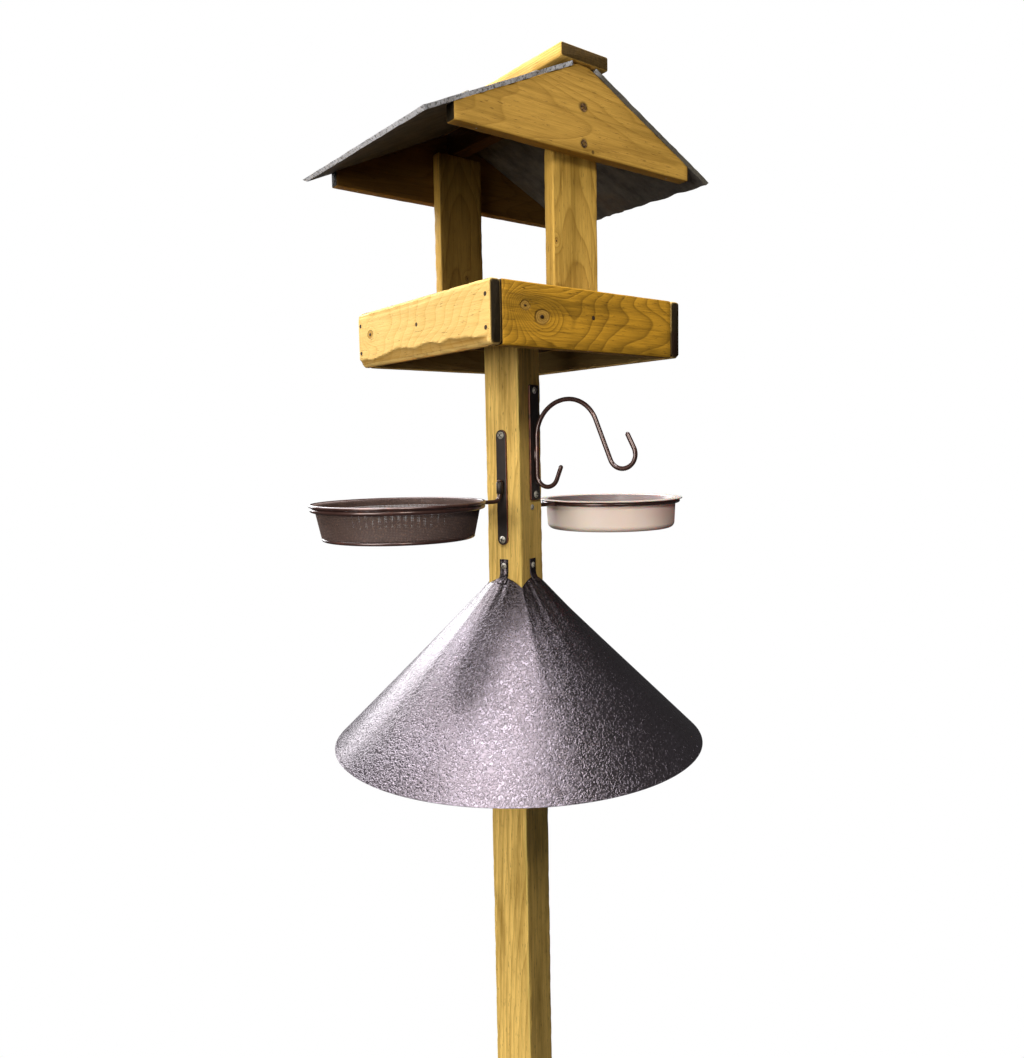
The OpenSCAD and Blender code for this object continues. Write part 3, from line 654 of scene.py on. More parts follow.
def slate(node, side, seed):
    low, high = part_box(node)
    slope = Vector((side * math.cos(roof_pitch), 0, -math.sin(roof_pitch)))
    normal = Vector((side * math.sin(roof_pitch), 0, math.cos(roof_pitch)))
    wide = (high.x - low.x - slate_thick * math.sin(roof_pitch)) / math.cos(roof_pitch)
    deep = high.y - low.y
    start_x = low.x if side > 0 else high.x
    start = Vector((start_x, low.y, high.z - slate_thick * math.cos(roof_pitch)))
    skin = Skin()

    def riven(s, y, kind):
        layer = wander((s, y, kind), 0.06, seed) * 0.5 + wander((s, y, kind), 0.018, seed + 2) * 0.3
        ledge = 0.35 if wander((s, y * 0.6, kind + 4), 0.05, seed + 5) > 0.12 else 0.0
        return 0.0004 * (1 + layer) + 0.0005 * ledge

    def jag(*spot):
        return 0.0009 * (1 + wander(spot, 0.012, seed + 7)) + 0.0006 * abs(wander(spot, 0.004, seed + 8))

    def chip(*spot):
        rough = 0.55 + 0.45 * wander(spot, 0.010, seed + 11)
        return chip_deep * rough + 0.0010 * abs(wander(spot, 0.003, seed + 12))

    def sheet(bottom):
        """The upper or the lower face, as rows from the ridge down."""
        rows = []
        for i in range(slate_rows + 1):
            row = []
            for k in range(slate_columns + 1):
                s, y = wide * i / slate_rows, deep * k / slate_columns
                back = chip(s, y, 1) if bottom else 0.0
                edge_low = jag(s, y, 2) + back
                shift_s = (i == slate_rows) * -(jag(s, y, 3) + back)
                shift_y = ((k == 0) - (k == slate_columns)) * edge_low
                lift = riven(s, y, 9) if bottom else slate_thick - riven(s, y, 0)
                rim = i == slate_rows or k in (0, slate_columns)
                s, y = s + shift_s, y + shift_y
                point = start + slope * s + to_back * y + normal * lift
                row.append(skin.add(point, (s, y, lift), 0, 0.9 if rim else 0.0))
            rows.append(row)
        return rows

    def round_the_rim(rows):
        return (rows[0] + [row[-1] for row in rows[1:-1]] + rows[-1][::-1]
                + [row[0] for row in rows[-2:0:-1]])

    top, under = sheet(False), sheet(True)
    flip = side < 0
    skin.rows(top, False, back=flip)
    skin.rows(under, False, back=not flip)
    skin.rows([round_the_rim(top), round_the_rim(under)], back=flip)
    skin.piece(node, "stone", stone, "root")


stone = Finish("riven_slate", Specular_IOR_Level=0.45)
stone_place = stone.place()
stone_coarse = stone.cloud(stone.stretch(stone_place, (34, 60, 34)), 1, 5, 0.65)
stone_fine = stone.cloud(stone_place, 420, 4, 0.65)
stone_ledges = stone.cloud(stone.stretch(stone_place, (12, 30, 12)), 1, 4, 0.7)
stone_rust = stone.cloud(stone_place, 17, 4, 0.55).step(0.52, 0.7)
stone_edge = stone.mark("edge")["Fac"]
stone_colour = stone.mix(stone_coarse.step(0.25, 0.75), paint(56, 53, 50), paint(104, 99, 92))
stone_colour = stone.mix(stone_rust * 0.6, stone_colour, paint(98, 78, 54))
stone_colour = stone.mix(stone_fine.step(0.58, 0.75) * 0.35, stone_colour, paint(150, 148, 150))
chips = stone_edge.step(0.35, 0.9) * stone_fine.step(0.30, 0.52)
stone_light = stone.split(stone_place)["X"].step(0.03, 0.0)
stone_chip = stone.mix(stone_light, paint(104, 98, 88), paint(244, 244, 252))
stone_colour = stone.mix(chips * 0.95, stone_colour, stone_chip)
stone.set(Base_Color=stone_colour, Roughness=(0.5 + stone_fine * 0.3).held())
stone.relief(stone_fine * 0.5 + stone_ledges * 1.4 + stone_coarse, 0.0009, 0.9)
slate("slate_left", -1, 21)
slate("slate_right", 1, 22)

# ---------------------------------------------------------------------------------------------
# Cone baffle. One sheet of thin steel rolled to a cone and lapped at the back, with a square
# opening for the pole and four tabs bent up against its faces. Its hammered paint is a light
# metal, chosen for how it shines; the dark ring round the opening is painted shade.
cone_low, cone_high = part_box("baffle_cone")
cone_radius = (cone_high.x - cone_low.x) / 2
cone_sheet = 0.001
cone_height, cone_lip = 0.175, 0.0225
corner_radius = upper_side / math.sqrt(2) + 0.0018
cone_fall = cone_height / (cone_radius - corner_radius)
cone_lean = math.hypot(1, cone_fall)
tab_half, tab_high = 0.0055, 0.022
cone_rim_z = cone_high.z - tab_high - (cone_radius - cone_lip) * cone_fall + cone_sheet * cone_lean
hole_half = corner_radius / math.sqrt(2)
quarters = [pole_turn + quarter * math.pi / 2 for quarter in range(4)]
fold_deep = 0.0016
cone_columns, cone_rings = 240, 46


def cone_point(angle, radius, drop=0.0):
    """A point of the cone's skin; drop goes into the sheet."""
    share = (radius - corner_radius) / (cone_radius - corner_radius)
    wave = math.cos(4 * (angle - pole_turn))
    fold = fold_deep * (0.5 - 0.5 * wave) * max(0.0, 1 - share) ** 1.3 * min(1.0, max(0.0, share) * 6)
    fold += 0.0007 * (0.5 + 0.5 * wander((math.cos(angle), math.sin(angle), share), 0.7, 31)) * (
        4 * max(0.0, share) * max(0.0, 1 - share))
    drop = drop + fold
    z = cone_rim_z + (cone_radius - radius) * cone_fall - drop / cone_lean
    radius = radius - drop * cone_fall / cone_lean
    return bearing(angle) * radius + up * z


def opening_radius(angle):
    turn = (angle - pole_turn + math.pi / 4) % (math.pi / 2) - math.pi / 4
    return hole_half / math.cos(turn)


skin = Skin()
tab_angle = math.atan2(tab_half, hole_half)
angles = []
for middle_angle in quarters:
    angles += [middle_angle + tab_angle * (k / 4) for k in range(-4, 4)]
    rest = math.pi / 2 - 2 * tab_angle
    angles += [middle_angle + tab_angle + rest * k / (cone_columns // 4 - 8)
               for k in range(cone_columns // 4 - 8)]
outer_rows, inner_rows = [], []
for rows, drop in ((outer_rows, 0.0), (inner_rows, cone_sheet)):
    for ring in range(cone_rings + 1):
        share = (ring / cone_rings) ** 1.25
        row = []
        for angle in angles:
            start = opening_radius(angle)
            row.append(skin.add(cone_point(angle, start + (cone_radius - start) * share, drop)))
        rows.append(row)
skin.rows(outer_rows, back=True)
skin.rows(inner_rows)
skin.rows([outer_rows[-1], inner_rows[-1]], back=True)
skin.rows([outer_rows[0], inner_rows[0]])


def strip(skin, line, across, half_width, thick, normals):
    """A flat strip along a line of points, with its sides eased."""
    side, ease = across * half_width, thick * 0.3
    outline = ((-1, ease), (-0.97, 0), (0.97, 0), (1, ease), (1, thick - ease), (0.97, thick),
               (-0.97, thick), (-1, thick - ease))
    skin.loft([[point + side * wide + normal * deep for wide, deep in outline]
               for point, normal in zip(line, normals)])


for turn in quarters:
    out = bearing(turn)
    across = up.cross(out)
    start = cone_point(turn, hole_half + 0.006)
    foot = out * 0.0226 + up * (cone_rim_z + (cone_radius - 0.0238) * cone_fall)
    line, normals = [], []
    for k in range(7):
        share = k / 6
        first, corner, last = start, foot + out * 0.0002, foot + up * 0.006
        point = first * (1 - share) ** 2 + corner * 2 * share * (1 - share) + last * share ** 2
        slope = (corner - first) * (1 - share) + (last - corner) * share
        line.append(point)
        normals.append(slope.normalized().cross(across) * -1)
    for k in range(1, 5):
        line.append(foot + up * (0.006 + (tab_high - 0.0075) * k / 4))
        normals.append(out)
    normals = [n if n.dot(out) > 0 else -n for n in normals]
    strip(skin, line, across, tab_half, cone_sheet * 0.95, normals)

seam_angle = pole_turn + math.pi / 4
seam_half = 0.007
seam_out = bearing(seam_angle)
seam_from, seam_to = corner_radius + 0.010, cone_radius - 0.0015
seam_reach = [seam_from + (seam_to - seam_from) * k / 24 for k in range(25)]
seam_line = [cone_point(seam_angle + seam_half / radius, radius) for radius in seam_reach]
seam_normals = [(seam_out * cone_fall + up).normalized()] * 25
strip(skin, seam_line, up.cross(seam_out), seam_half, cone_sheet * 0.9, seam_normals)

hammered = Finish("hammered_paint", Metallic=0.9, Specular_IOR_Level=0.5)
hammer_place = hammered.place()
hammer_warp = hammered.cloud(hammer_place, 160, 2)
hammer_hills = hammered.cloud(hammer_place, 330, 1, 0.4, 1.2).step(0.36, 0.60)
hammer_dust = hammered.cloud(hammer_place, 9, 4)
hammer_tone = hammered.mix(hammer_dust, paint(98, 89, 92), paint(124, 116, 124))
hammer_flat = hammered.vector("MULTIPLY", hammer_place, (1, 1, 0))
hammer_round = hammered.vector("NORMALIZE", hammer_flat)
hammer_reach = hammered.vector("LENGTH", hammer_flat)["Value"]
# Painted shade: the paint darkens in a ring near the opening, standing for the pole's dark reflection.
hammer_tone = hammered.mix(hammer_reach.step(0.085, 0.04) * 0.55, hammer_tone, paint(40, 34, 32))
hammer_folds = hammered.cloud(hammer_round, 2.6, 1) * hammer_reach.step(0.16, 0.05)
hammered.set(Base_Color=hammered.mix(hammer_hills * 0.35, hammer_tone, paint(64, 54, 54)),
             Roughness=(0.20 + hammer_warp * 0.12).held())
hammered.relief(hammer_hills + hammer_warp * 0.3 + hammer_folds * 24.0, 0.00028, 0.9)
skin.piece("baffle_cone", "sheet", hammered, "root", 50)


def dress(node, finish):
    """Gives a finish to a node that keeps its own shape."""
    materials = frame["nodes"][node].data.materials
    materials.clear()
    materials.append(finish.material)


dress("baffle_rivets", hammered)

# ---------------------------------------------------------------------------------------------
# Straps. Flat steel plates screwed to the pole, painted like the cone, with the paint rubbed to
# copper brown along the edges. Two carry a welded socket for a ring's pin; the third, with
# nearly square ends, carries the hooks.
strap_thick = 0.0025
strap_ease = 0.0005
ring_wire = 0.0045
pin_out = 0.0059
socket_inner, socket_outer = 0.00233, 0.00373
socket_half, socket_lip = 0.0065, 0.0004


def pole_side(turn_degrees):
    """The middle of a side of the upper pole at height 0, the way out of it and the way along it."""
    out = bearing(pole_turn + math.radians(turn_degrees))
    return out * upper_side / 2, out, up.cross(out)


def plate_outline(half_width, half_height, corner, parts=8):
    """The outline of a plate with round corners, as (across, up)."""
    outline = []
    for turn, (side, top) in enumerate(((1, 1), (-1, 1), (-1, -1), (1, -1))):
        for k in range(parts + 1):
            angle = math.pi / 2 * (turn + k / parts)
            outline.append((side * (half_width - corner) + corner * math.cos(angle),
                            top * (half_height - corner) + corner * math.sin(angle)))
    return outline


def plate(skin, middle, out, across, half_width, half_height, corner):
    rings = []
    levels = ((0, strap_ease * 0.5, 0), (strap_ease * 0.5, 0, 1), (strap_thick - strap_ease, 0, 1),
              (strap_thick - strap_ease * 0.3, strap_ease * 0.3, 1), (strap_thick, strap_ease, 0.6),
              (strap_thick, strap_ease + 0.0006, 0))
    for level, inset, _ in levels:
        outline = plate_outline(half_width - inset, half_height - inset, corner - inset)
        rings.append([middle + out * level + across * a + up * b for a, b in outline])
    skin.loft(rings, edges=[edge for _, _, edge in levels])


def turned(skin, centre, profile, sides=48, closed=False, axis=up, edges=None):
    """A shape turned round an axis through centre; the profile is a list of (radius, height)."""
    side = axis.orthogonal().normalized()
    other = axis.cross(side)
    skin.loft([[centre + axis * height + (side * math.cos(a) + other * math.sin(a)) * radius
                for a in round_turn(sides)] for radius, height in profile], edges, closed)


strap_paint = Finish("strap_paint", Metallic=0.3, Specular_IOR_Level=0.6)
strap_place = strap_paint.place()
strap_cloud = strap_paint.cloud(strap_place, 120, 4, 0.6)
strap_rub = (strap_paint.mark("edge")["Fac"] * 0.9 + (strap_cloud - 0.5) * 1.3).step(0.55, 0.95)
strap_tone = strap_paint.mix(strap_cloud, paint(30, 22, 20), paint(58, 48, 44))
strap_paint.set(Base_Color=strap_paint.mix(strap_rub * 0.8, strap_tone, paint(128, 70, 50)),
                Roughness=(0.34 + strap_cloud * 0.22).held())
strap_paint.relief(strap_paint.cloud(strap_place, 700, 2), 0.00012, 0.7)

for node, side_turn in (("seed_plate", 180), ("water_plate", 0)):
    middle, size = middle_and_size(node)
    face, out, across = pole_side(side_turn)
    face += up * middle.z
    skin = Skin()
    plate(skin, face, out, across, 0.0065, size.z / 2, 0.0064)
    socket = [(socket_outer - socket_lip, -socket_half), (socket_outer, -socket_half + socket_lip),
              (socket_outer, socket_half - socket_lip), (socket_outer - socket_lip, socket_half),
              (socket_inner, socket_half), (socket_inner, -socket_half)]
    turned(skin, face + out * pin_out, socket, 36, True, edges=[1, 0, 0, 1, 0, 0])
    skin.piece(node, "steel", strap_paint, "root", 60)

middle, size = middle_and_size("hook_plate")
hook_side = 0.006
face, out, across = pole_side(270)
skin = Skin()
plate(skin, face + across * hook_side + up * middle.z, out, across, 0.009, size.z / 2, 0.0018)
skin.piece("hook_plate", "steel", strap_paint, "root", 60)

# ---------------------------------------------------------------------------------------------
# Screws. Zinc-plated pan heads with a cross recess hold the straps and the cone's tabs, and one
# is left over in the pole. Flat heads sit level in the gables and the ridge cap.
recess_long, recess_wide, recess_deep = 0.40, 0.11, 0.0011
screw_thick = 0.0036
pan_rise = 0.30


def cross_radius(angle, size):
    """How far a cross of that size reaches in a direction."""
    turn = abs((angle + math.pi / 4) % (math.pi / 2) - math.pi / 4)
    long, wide = recess_long * size, recess_wide * size
    if turn < math.atan2(wide, long):
        return long / math.cos(turn)
    return min(wide / math.sin(turn), math.hypot(wide, wide) / max(0.2, math.cos(math.pi / 4 - turn)))


def screw(skin, at, out, turn, head, rise, length):
    """A screw whose head sits on at; rise is 0 for a flat head, which is then let in level."""
    thick = screw_thick
    side = out.orthogonal().normalized()
    other = out.cross(side)
    radius = head / 2
    angles = sorted({k * math.pi / 16 for k in range(32)}
                    | {(q * math.pi / 2 + s * math.atan2(recess_wide, recess_long)) % (2 * math.pi)
                       for q in range(4) for s in (-1, 1)})

    def dome(r):
        return rise * (1 - (r / radius) ** 2)

    def ring(size, height, shape=None):
        found = []
        for angle in angles:
            r = cross_radius(angle, shape) * size if shape else size
            z = dome(r) if height is None else height
            spin = angle + turn
            found.append(at + out * z + (side * math.cos(spin) + other * math.sin(spin)) * r)
        return found

    sink = (head - thick) / 2 if rise == 0 else 0
    rings = [ring(0.0002, -length), ring(thick / 2, thick - length), ring(thick / 2, -sink)]
    rings += [ring(radius * 0.97, 0.0 if sink else 0.0001), ring(radius, 0.00012 if not sink else 0.0)]
    rings += [ring(radius * 0.93, None), ring(radius * 0.75, None), ring(radius * 0.52, None)]
    rings += [ring(1.0, None, head), ring(0.88, dome(0) - recess_deep * 0.8, head),
              ring(0.3, dome(0) - recess_deep, head)]
    skin.loft(rings, [0, 0, 0, 1, 1, 0.6, 0, 0, 0.5, -1, -1])


def screws(node, stuff, finish, places, head, rise, length):
    """A piece of equal screws; places are (point, way out, turn)."""
    skin = Skin()
    for place in places:
        screw(skin, *place, head, rise * head, length)
    skin.piece(node, stuff, finish, "root", 35)


zinc = Finish("zinc_plate", Metallic=0.35)
zinc_place = zinc.place()
zinc_cloud = zinc.cloud(zinc_place, 900, 3, 0.6)
zinc_mark = zinc.mark("edge")["Fac"]
zinc_tone = zinc.mix(zinc_cloud, paint(150, 142, 128), paint(216, 210, 198))
# Painted shade: the cross recess, marked -1, is coloured nearly black.
zinc_tone = zinc.mix(zinc_mark.step(-0.2, -0.8) * 0.92, zinc_tone, paint(24, 18, 14))
zinc.set(Base_Color=zinc_tone, Roughness=(0.28 + zinc_cloud * 0.25).held())
zinc.relief(zinc_cloud, 0.0001, 0.5)

worn = Finish("worn_screw", Metallic=0.6)
worn_cloud = worn.cloud(worn.place(), 700, 4, 0.65)
worn_tone = worn.mix(worn_cloud.step(0.35, 0.65), paint(38, 24, 15), paint(168, 128, 84))
worn.set(Base_Color=worn_tone, Roughness=(0.5 + worn_cloud * 0.3).held())
worn.relief(worn_cloud, 0.0003, 0.8)

for node, plate_node, side_turn, side_shift in (("seed_plate_screws", "seed_plate", 180, 0.0),
                                                ("water_plate_screws", "water_plate", 0, 0.0),
                                                ("hook_plate_screws", "hook_plate", 270, hook_side)):
    low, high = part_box(plate_node)
    face, out, across = pole_side(side_turn)
    face = face + out * strap_thick + across * side_shift
    places = [(face + up * z, out, 0.5 + n) for n, z in enumerate((low.z + 0.006, high.z - 0.006))]
    screws(node, "zinc", zinc, places, 0.008, pan_rise, 0.022)

tab_screw_z = middle_and_size("baffle_screws")[0].z
places = []
for quarter in range(4):
    face, out, across = pole_side(90 * quarter)
    places.append((face + out * cone_sheet + up * tab_screw_z, out, quarter * 0.7))
screws("baffle_screws", "zinc", zinc, places, 0.007, pan_rise, 0.018)

face, out, across = pole_side(270)
spare_at = face + across * 0.002 + up * middle_and_size("spare_pole_screw")[0].z
screws("spare_pole_screw", "zinc", zinc, [(spare_at, out, 0.0)], 0.0065, pan_rise, 0.016)

gable_faces = ((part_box("gable_front")[0].y, -to_back), (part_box("gable_back")[1].y, to_back))
screws("gable_screws", "worn", worn, [(Vector((house_x, y, post_top - drop)), out, 0.3 + n)
                                      for y, out in gable_faces for n, drop in enumerate(gable_drop)],
       0.008, 0, 0.024)

low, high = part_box("ridge_cap_screws")
screws("ridge_cap_screws", "worn", worn, [(Vector((house_x, y, high.z)), up, y * 40)
                                          for y in (low.y + 0.004, high.y - 0.004)], 0.008, 0, 0.034)

# Nails, clouts and the fixings inside the joints keep the shapes that they are made to.
nail_steel = Finish("nail_steel", Metallic=0.5, Roughness=0.55)
nail_cloud = nail_steel.cloud(nail_steel.place(), 800, 3)
nail_steel.set(Base_Color=nail_steel.mix(nail_cloud, paint(34, 24, 16), paint(92, 70, 48)))
dowel_wood = Finish("dowel_wood", Roughness=0.6)
dowel_lines = dowel_wood.cloud(dowel_wood.stretch(dowel_wood.place(), (700, 700, 20)), 1, 3)
dowel_wood.set(Base_Color=dowel_wood.mix(dowel_lines, paint(206, 170, 120), paint(160, 120, 74)))
kept = {nail_steel: ("tray_corner_nails", "tray_floor_nails"),
        zinc: ("pole_joint_screws", "tray_floor_screws", "roof_post_screws", "slate_nails"),
        dowel_wood: ("pole_dowel",)}
for finish, nodes in kept.items():
    for node in nodes:
        dress(node, finish)

# ---------------------------------------------------------------------------------------------
# Rings with their arms. Each is one coated wire: its end stands up as a pin through the socket
# and is headed over, its arm runs out level, and its ring is closed and welded to the arm.
coated = Finish("coated_wire", Metallic=0.45, Specular_IOR_Level=0.6, Coat_Weight=0.6, Coat_Roughness=0.1)
coated_place = coated.place()
coated_cloud = coated.cloud(coated_place, 60, 4, 0.6)
coated_rub = coated.cloud(coated_place, 90, 3, 0.6).step(0.55, 0.80)
coated_tone = coated.mix(coated_cloud, paint(52, 34, 30), paint(92, 62, 56))
coated.set(Base_Color=coated.mix(coated_rub * 0.45, coated_tone, paint(150, 88, 66)),
           Roughness=(0.22 + coated_cloud * 0.16).held())
coated.relief(coated.cloud(coated_place, 900, 2), 0.00008, 0.6)


def wire(skin, points, radius, sides=16, closed=False, round_ends=True):
    """A round wire along points. Its sections are carried along without twisting."""
    points = [Vector(point) for point in points]
    count = len(points)
    rings = []
    side = None
    for k, point in enumerate(points):
        if closed:
            ahead = (points[(k + 1) % count] - points[k - 1]).normalized()
        else:
            ahead = (points[min(k + 1, count - 1)] - points[max(k - 1, 0)]).normalized()
        if side is None:
            side = ahead.orthogonal().normalized()
        side = (side - ahead * side.dot(ahead)).normalized()
        other = ahead.cross(side)
        ring = [point + (side * math.cos(a) + other * math.sin(a)) * radius for a in round_turn(sides)]
        if round_ends and not closed and k in (0, count - 1):
            back = ahead * (radius * (-1 if k == 0 else 1))
            tips = []
            for part in (0.35, 0.7, 0.95):
                wide = math.sqrt(1 - part * part)
                tips.append([point + (spot - point) * wide + back * part - back for spot in ring])
            rings += tips[::-1] if k == 0 else []
            rings.append([spot - back for spot in ring])
            rings += tips if k else []
        else:
            rings.append(ring)
    skin.loft(rings, closed=closed)


def circle(centre, radius):
    return [centre + bearing(angle) * radius for angle in round_turn(144)]


def pivot_of(joint):
    found = next(j for j in frame["joints"] if j["name"] == joint)
    return Vector(found["pos_m"])


ring_down = 0.015
pin_up = socket_half + 0.0003
pin_head = 0.00315


def ring_arm(node, joint, body, middle, ring_radius):
    pivot = pivot_of(joint)
    ring_z = pivot.z - ring_down
    low_pivot = Vector((pivot.x, pivot.y, ring_z))
    ahead = Vector((middle.x - pivot.x, middle.y - pivot.y, 0))
    reach = ahead.length - ring_radius
    ahead.normalize()
    bend = ring_wire * 1.8
    skin = Skin()
    line = [pivot + up * (pin_up + 0.0002), pivot]
    corner = low_pivot + up * bend + ahead * bend
    line += [corner + (-ahead * math.cos(a) - up * math.sin(a)) * bend
             for a in (math.pi / 2 * k / 8 for k in range(9))]
    line += [low_pivot + ahead * reach * 0.6, low_pivot + ahead * reach]
    wire(skin, line, ring_wire / 2)
    wire(skin, circle(Vector((middle.x, middle.y, ring_z)), ring_radius), ring_wire / 2, 14, True)
    dome = [(pin_head - 0.0005, 0), (pin_head, 0.0005), (pin_head, 0.0014), (pin_head - 0.0008, 0.0021),
            (pin_head * 0.35, 0.0024)]
    turned(skin, pivot + up * pin_up, dome, 32)
    joint_at = low_pivot + ahead * (reach - ring_wire * 0.5)
    weld = [(0.0014, -0.0030), (0.00235, -0.0018), (0.00265, 0.0006), (0.0026, 0.0024), (0.0018, 0.0036)]
    turned(skin, joint_at, weld, 24, axis=ahead)
    skin.piece(node, "wire", coated, body, 50)


seed_middle = middle_and_size("seed_dish_rim")[0]
water_middle = middle_and_size("water_dish")[0]
seed_ring_radius, water_ring_radius = 0.08625, 0.08235
ring_arm("seed_ring_arm", "seed_arm_swing", "seed_arm", seed_middle, seed_ring_radius)
ring_arm("water_ring_arm", "water_arm_swing", "water_arm", water_middle, water_ring_radius)

# ---------------------------------------------------------------------------------------------
# Seed dish. A basket of fine woven wire, hung in its ring from a thicker rim wire, with a foot
# wire under the floor.
rim_wire = 0.0034
seed_axis = Vector((seed_middle.x, seed_middle.y, 0))


def dish_wire(node):
    """A round wire of the seed dish in its node's place: its height and the radius of its middle."""
    middle, size = middle_and_size(node)
    radius = size.x / 2 - rim_wire / 2
    skin = Skin()
    wire(skin, circle(seed_axis + up * middle.z, radius), rim_wire / 2, 14, True)
    skin.piece(node, "wire", coated, "seed_dish", 60)
    return middle.z, radius


rim_z, rim_radius = dish_wire("seed_dish_rim")
foot_radius = dish_wire("seed_dish_foot_wire")[1]

mesh_pitch = 0.0015
mesh_wire = 0.00052
mesh_half = 0.00045
weave = 0.00020
base_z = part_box("seed_dish_foot_wire")[1].z
base_radius = foot_radius + rim_wire / 2
ring_level = pivot_of("seed_arm_swing").z - ring_down
wall_top_radius = 0.0834


def wall_radius(z):
    """The middle of the wall's mesh at a height; it flares out under the rim wire."""
    if z < ring_level:
        share = (z - base_z) / (ring_level - base_z)
        return base_radius + (wall_top_radius - base_radius) * share - mesh_half
    flare = max(0.0, (z - ring_level) / (rim_z - ring_level))
    return wall_top_radius - mesh_half + flare ** 3 * 0.0006


uprights = 2 * round(math.pi * wall_top_radius / mesh_pitch)
levels = round((rim_z - base_z) / mesh_pitch)
skin = Skin()


def wall_point(k, level, side):
    """Where an upright (side 1) or a level wire (side -1) passes a crossing of the weave."""
    z = base_z + (rim_z - base_z) * level / levels
    radius = wall_radius(z) + side * weave * (1 if (k + level) % 2 else -1)
    return seed_axis + up * z + bearing(2 * math.pi * k / uprights) * radius


for k in range(uprights):
    line = [wall_point(k, level, 1) for level in range(levels + 1)]
    away = bearing(2 * math.pi * k / uprights)
    line.append(seed_axis + up * (rim_z + 0.0004) + away * (rim_radius - 0.0012))
    wire(skin, line, mesh_wire, 4, False, False)
for level in range(1, levels):
    wire(skin, [wall_point(k, level, -1) for k in range(uprights)], mesh_wire, 4, True)
woven = Finish("woven_wire", Metallic=0.25, Specular_IOR_Level=0.4)
woven_cloud = woven.cloud(woven.place(), 40, 4, 0.6)
woven_fine = woven.cloud(woven.place(), 520, 2, 0.6)
woven_tone = woven.mix(woven_cloud, paint(70, 54, 50), paint(106, 88, 82))
woven.set(Base_Color=woven.mix(woven_fine.step(0.5, 0.72) * 0.5, woven_tone, paint(142, 108, 92)),
          Roughness=(0.50 + woven_cloud * 0.2).held())
skin.piece("seed_dish_wall", "mesh", woven, "seed_dish", 80)

skin = Skin()
floor_level = base_z + mesh_half
floor_reach = base_radius - 0.0011
half_count = int(floor_reach / mesh_pitch)
for way in (0, 1):
    for n in range(-half_count, half_count + 1):
        offset = n * mesh_pitch
        half_run = math.sqrt(floor_reach ** 2 - offset ** 2)
        line = []
        crossings = int(half_run / mesh_pitch)
        ends = half_run / mesh_pitch
        for m in [-ends] + list(range(-crossings, crossings + 1)) + [ends]:
            lift = weave * (1 if (n + round(m) + way) % 2 else -1)
            x, y = (m * mesh_pitch, offset) if way else (offset, m * mesh_pitch)
            line.append(seed_axis + Vector((x, y, floor_level + lift)))
        wire(skin, line, mesh_wire, 4, False, False)
skin.piece("seed_dish_floor", "mesh", woven, "seed_dish", 80)

# ---------------------------------------------------------------------------------------------
# Water dish. A shallow moulded dish of cream plastic; its flange ends in a thin rolled lip that
# rests on the ring.
water_low, water_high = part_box("water_dish")
water_rim = (water_high.x - water_low.x) / 2
water_wall = 0.0018
water_side = water_rim - 0.008
water_base = water_side - 0.0015
water_curve = 0.007
flange_z = water_high.z - water_wall
ring_z = pivot_of("water_arm_swing").z - ring_down
bend_r, bend_z = water_base - water_curve, water_low.z + water_curve


def arc(centre_r, centre_z, radius, start, end, parts):
    """Profile points round a centre; angles in degrees, from straight down towards the rim."""
    angles = [math.radians(start + (end - start) * k / parts) for k in range(parts + 1)]
    return [(centre_r + radius * math.sin(a), centre_z - radius * math.cos(a)) for a in angles]


lip_radius = water_wall / 2
inner_side = water_side - water_wall
outside = [(0.002, water_low.z), (water_base * 0.5, water_low.z), (bend_r - 0.004, water_low.z)]
outside += arc(bend_r, bend_z, water_curve, 0, 90, 10)
outside += [(water_side - 0.0004, ring_z - 0.004), (water_side, ring_z), (water_side, flange_z - 0.0006),
            (water_side + 0.0006, flange_z), (water_side + 0.004, flange_z)]
outside += arc(water_rim - lip_radius, flange_z + lip_radius, lip_radius, 0, 180, 8)
outside += [(water_side + 0.002, water_high.z - 0.0002), (inner_side + 0.0012, water_high.z - 0.0002),
            (inner_side + 0.0003, water_high.z - 0.0006)]
inside = [(inner_side, water_high.z - 0.0014)]
inside += arc(bend_r, bend_z, water_curve - water_wall, 90, 0, 10)
inside += [(water_base * 0.5, water_low.z + water_wall), (0.002, water_low.z + water_wall)]
skin = Skin()
turned(skin, Vector((water_middle.x, water_middle.y, 0)), outside + inside, 160,
       edges=[0] * len(outside) + [1] * len(inside))
cream = Finish("cream_plastic", Specular_IOR_Level=0.5, Subsurface_Weight=0.25, Subsurface_Scale=0.004,
               Coat_Weight=0.25, Coat_Roughness=0.2)
cream_place = cream.place()
cream_cloud = cream.cloud(cream_place, 14, 4, 0.6)
cream_scuff = cream.cloud(cream.stretch(cream_place, (260, 260, 1400)), 1, 3, 0.7).step(0.6, 0.8)
cream_tone = cream.mix(cream_cloud, paint(238, 214, 200), paint(246, 230, 220))
# Painted shade: the inside of the dish is tinted a darker lilac-grey.
cream_inside_shade = cream.mark("edge")["Fac"].step(0.2, 0.9) * (cream_cloud * 0.3 + 0.6)
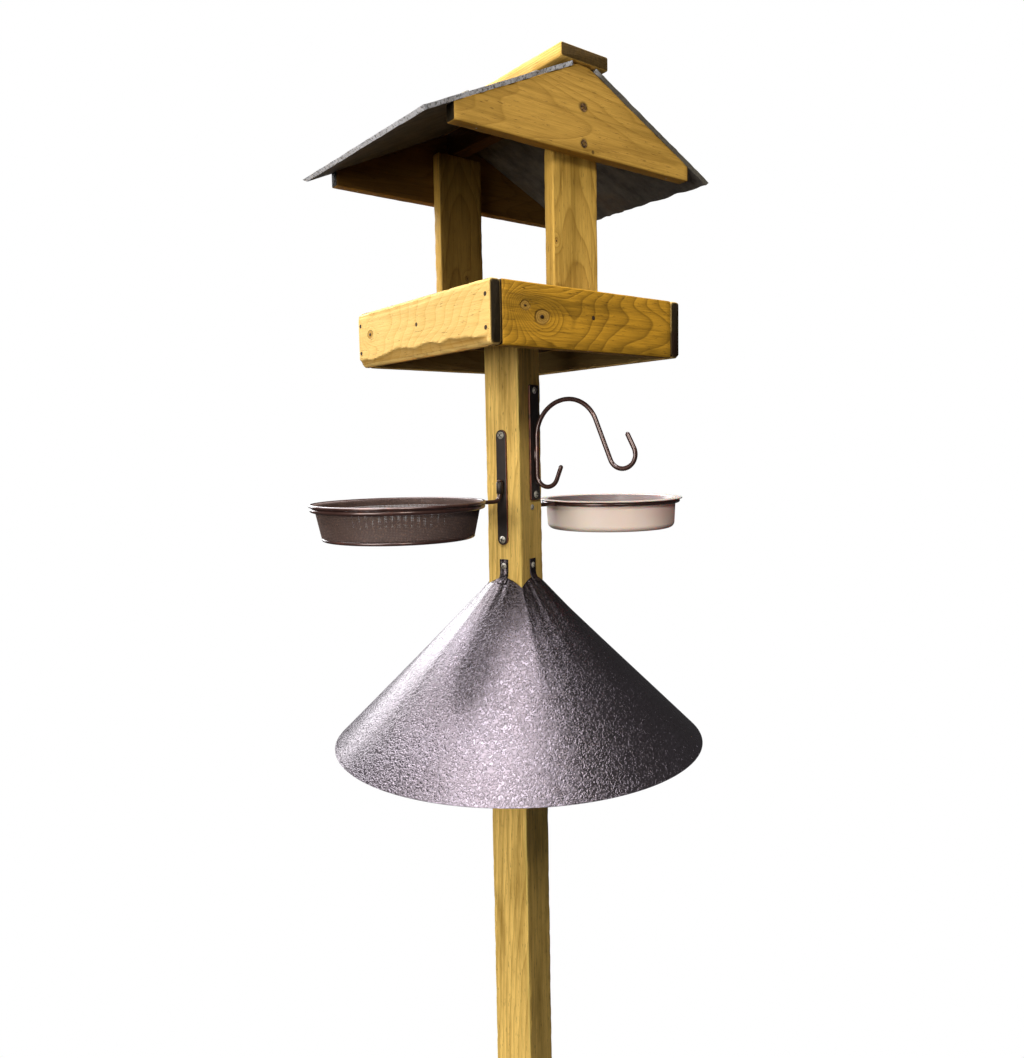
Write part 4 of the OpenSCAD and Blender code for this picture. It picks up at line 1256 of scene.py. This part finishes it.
cream_tone = cream.mix(cream_inside_shade, cream_tone, paint(128, 114, 122))
cream.set(Base_Color=cream.mix(cream_scuff * 0.18, cream_tone, paint(196, 172, 158)),
          Roughness=(0.3 + cream_cloud * 0.12 + cream_scuff * 0.15).held())
cream.relief(cream_cloud * 0.5 + cream_scuff * 0.3, 0.00015, 0.5)
skin.piece("water_dish", "plastic", cream, "water_cup", 50)

# ---------------------------------------------------------------------------------------------
# Double hook. One coated wire bent to a large hook above and a small one below, and welded
# where it crosses its plate.
hook_wire = 0.005


def bent_run(steps):
    """Points (out, up) along steps of (straight length, bend in degrees, bend radius)."""
    x = z = head = 0.0
    points = [(x, z)]
    for straight, bend, radius in steps:
        parts = max(2, round(straight / 0.004))
        for k in range(1, parts + 1):
            run = straight * k / parts
            points.append((x + run * math.sin(head), z + run * math.cos(head)))
        x, z = points[-1]
        if not bend:
            continue
        side = math.copysign(1, bend)
        centre = (x + side * radius * math.cos(head), z - side * radius * math.sin(head))
        parts = math.ceil(abs(bend) / 5)
        for k in range(1, parts + 1):
            now = head + math.radians(bend) * k / parts
            points.append((centre[0] - side * radius * math.cos(now),
                           centre[1] + side * radius * math.sin(now)))
        head += math.radians(bend)
        x, z = points[-1]
    return points


low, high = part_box("hook_plate")
face, out, across = pole_side(270)
hook_start = (face + out * (strap_thick + hook_wire / 2) + across * hook_side
              + up * ((low.z + high.z) / 2 - 0.014))
upper = bent_run([(0.020, 90, 0.040), (0, 68, 0.037), (0.046, -185, 0.015), (0.018, 0, 0.001)])
lower = bent_run([(0.022, 158, 0.013), (0.017, 0, 0.001)])
line = [hook_start + out * a - up * b for a, b in lower[:0:-1]]
line += [hook_start + out * a + up * b for a, b in upper]
skin = Skin()
wire(skin, line, hook_wire / 2, 18)
weld_at = hook_start - out * hook_wire * 0.42
weld = [(0.0010, 0.000), (0.0020, 0.002), (0.0024, 0.006), (0.0024, 0.010), (0.0019, 0.014),
        (0.0008, 0.016)]
turned(skin, weld_at - up * 0.008, weld, 20)
skin.piece("double_hook", "wire", coated, "root", 60)
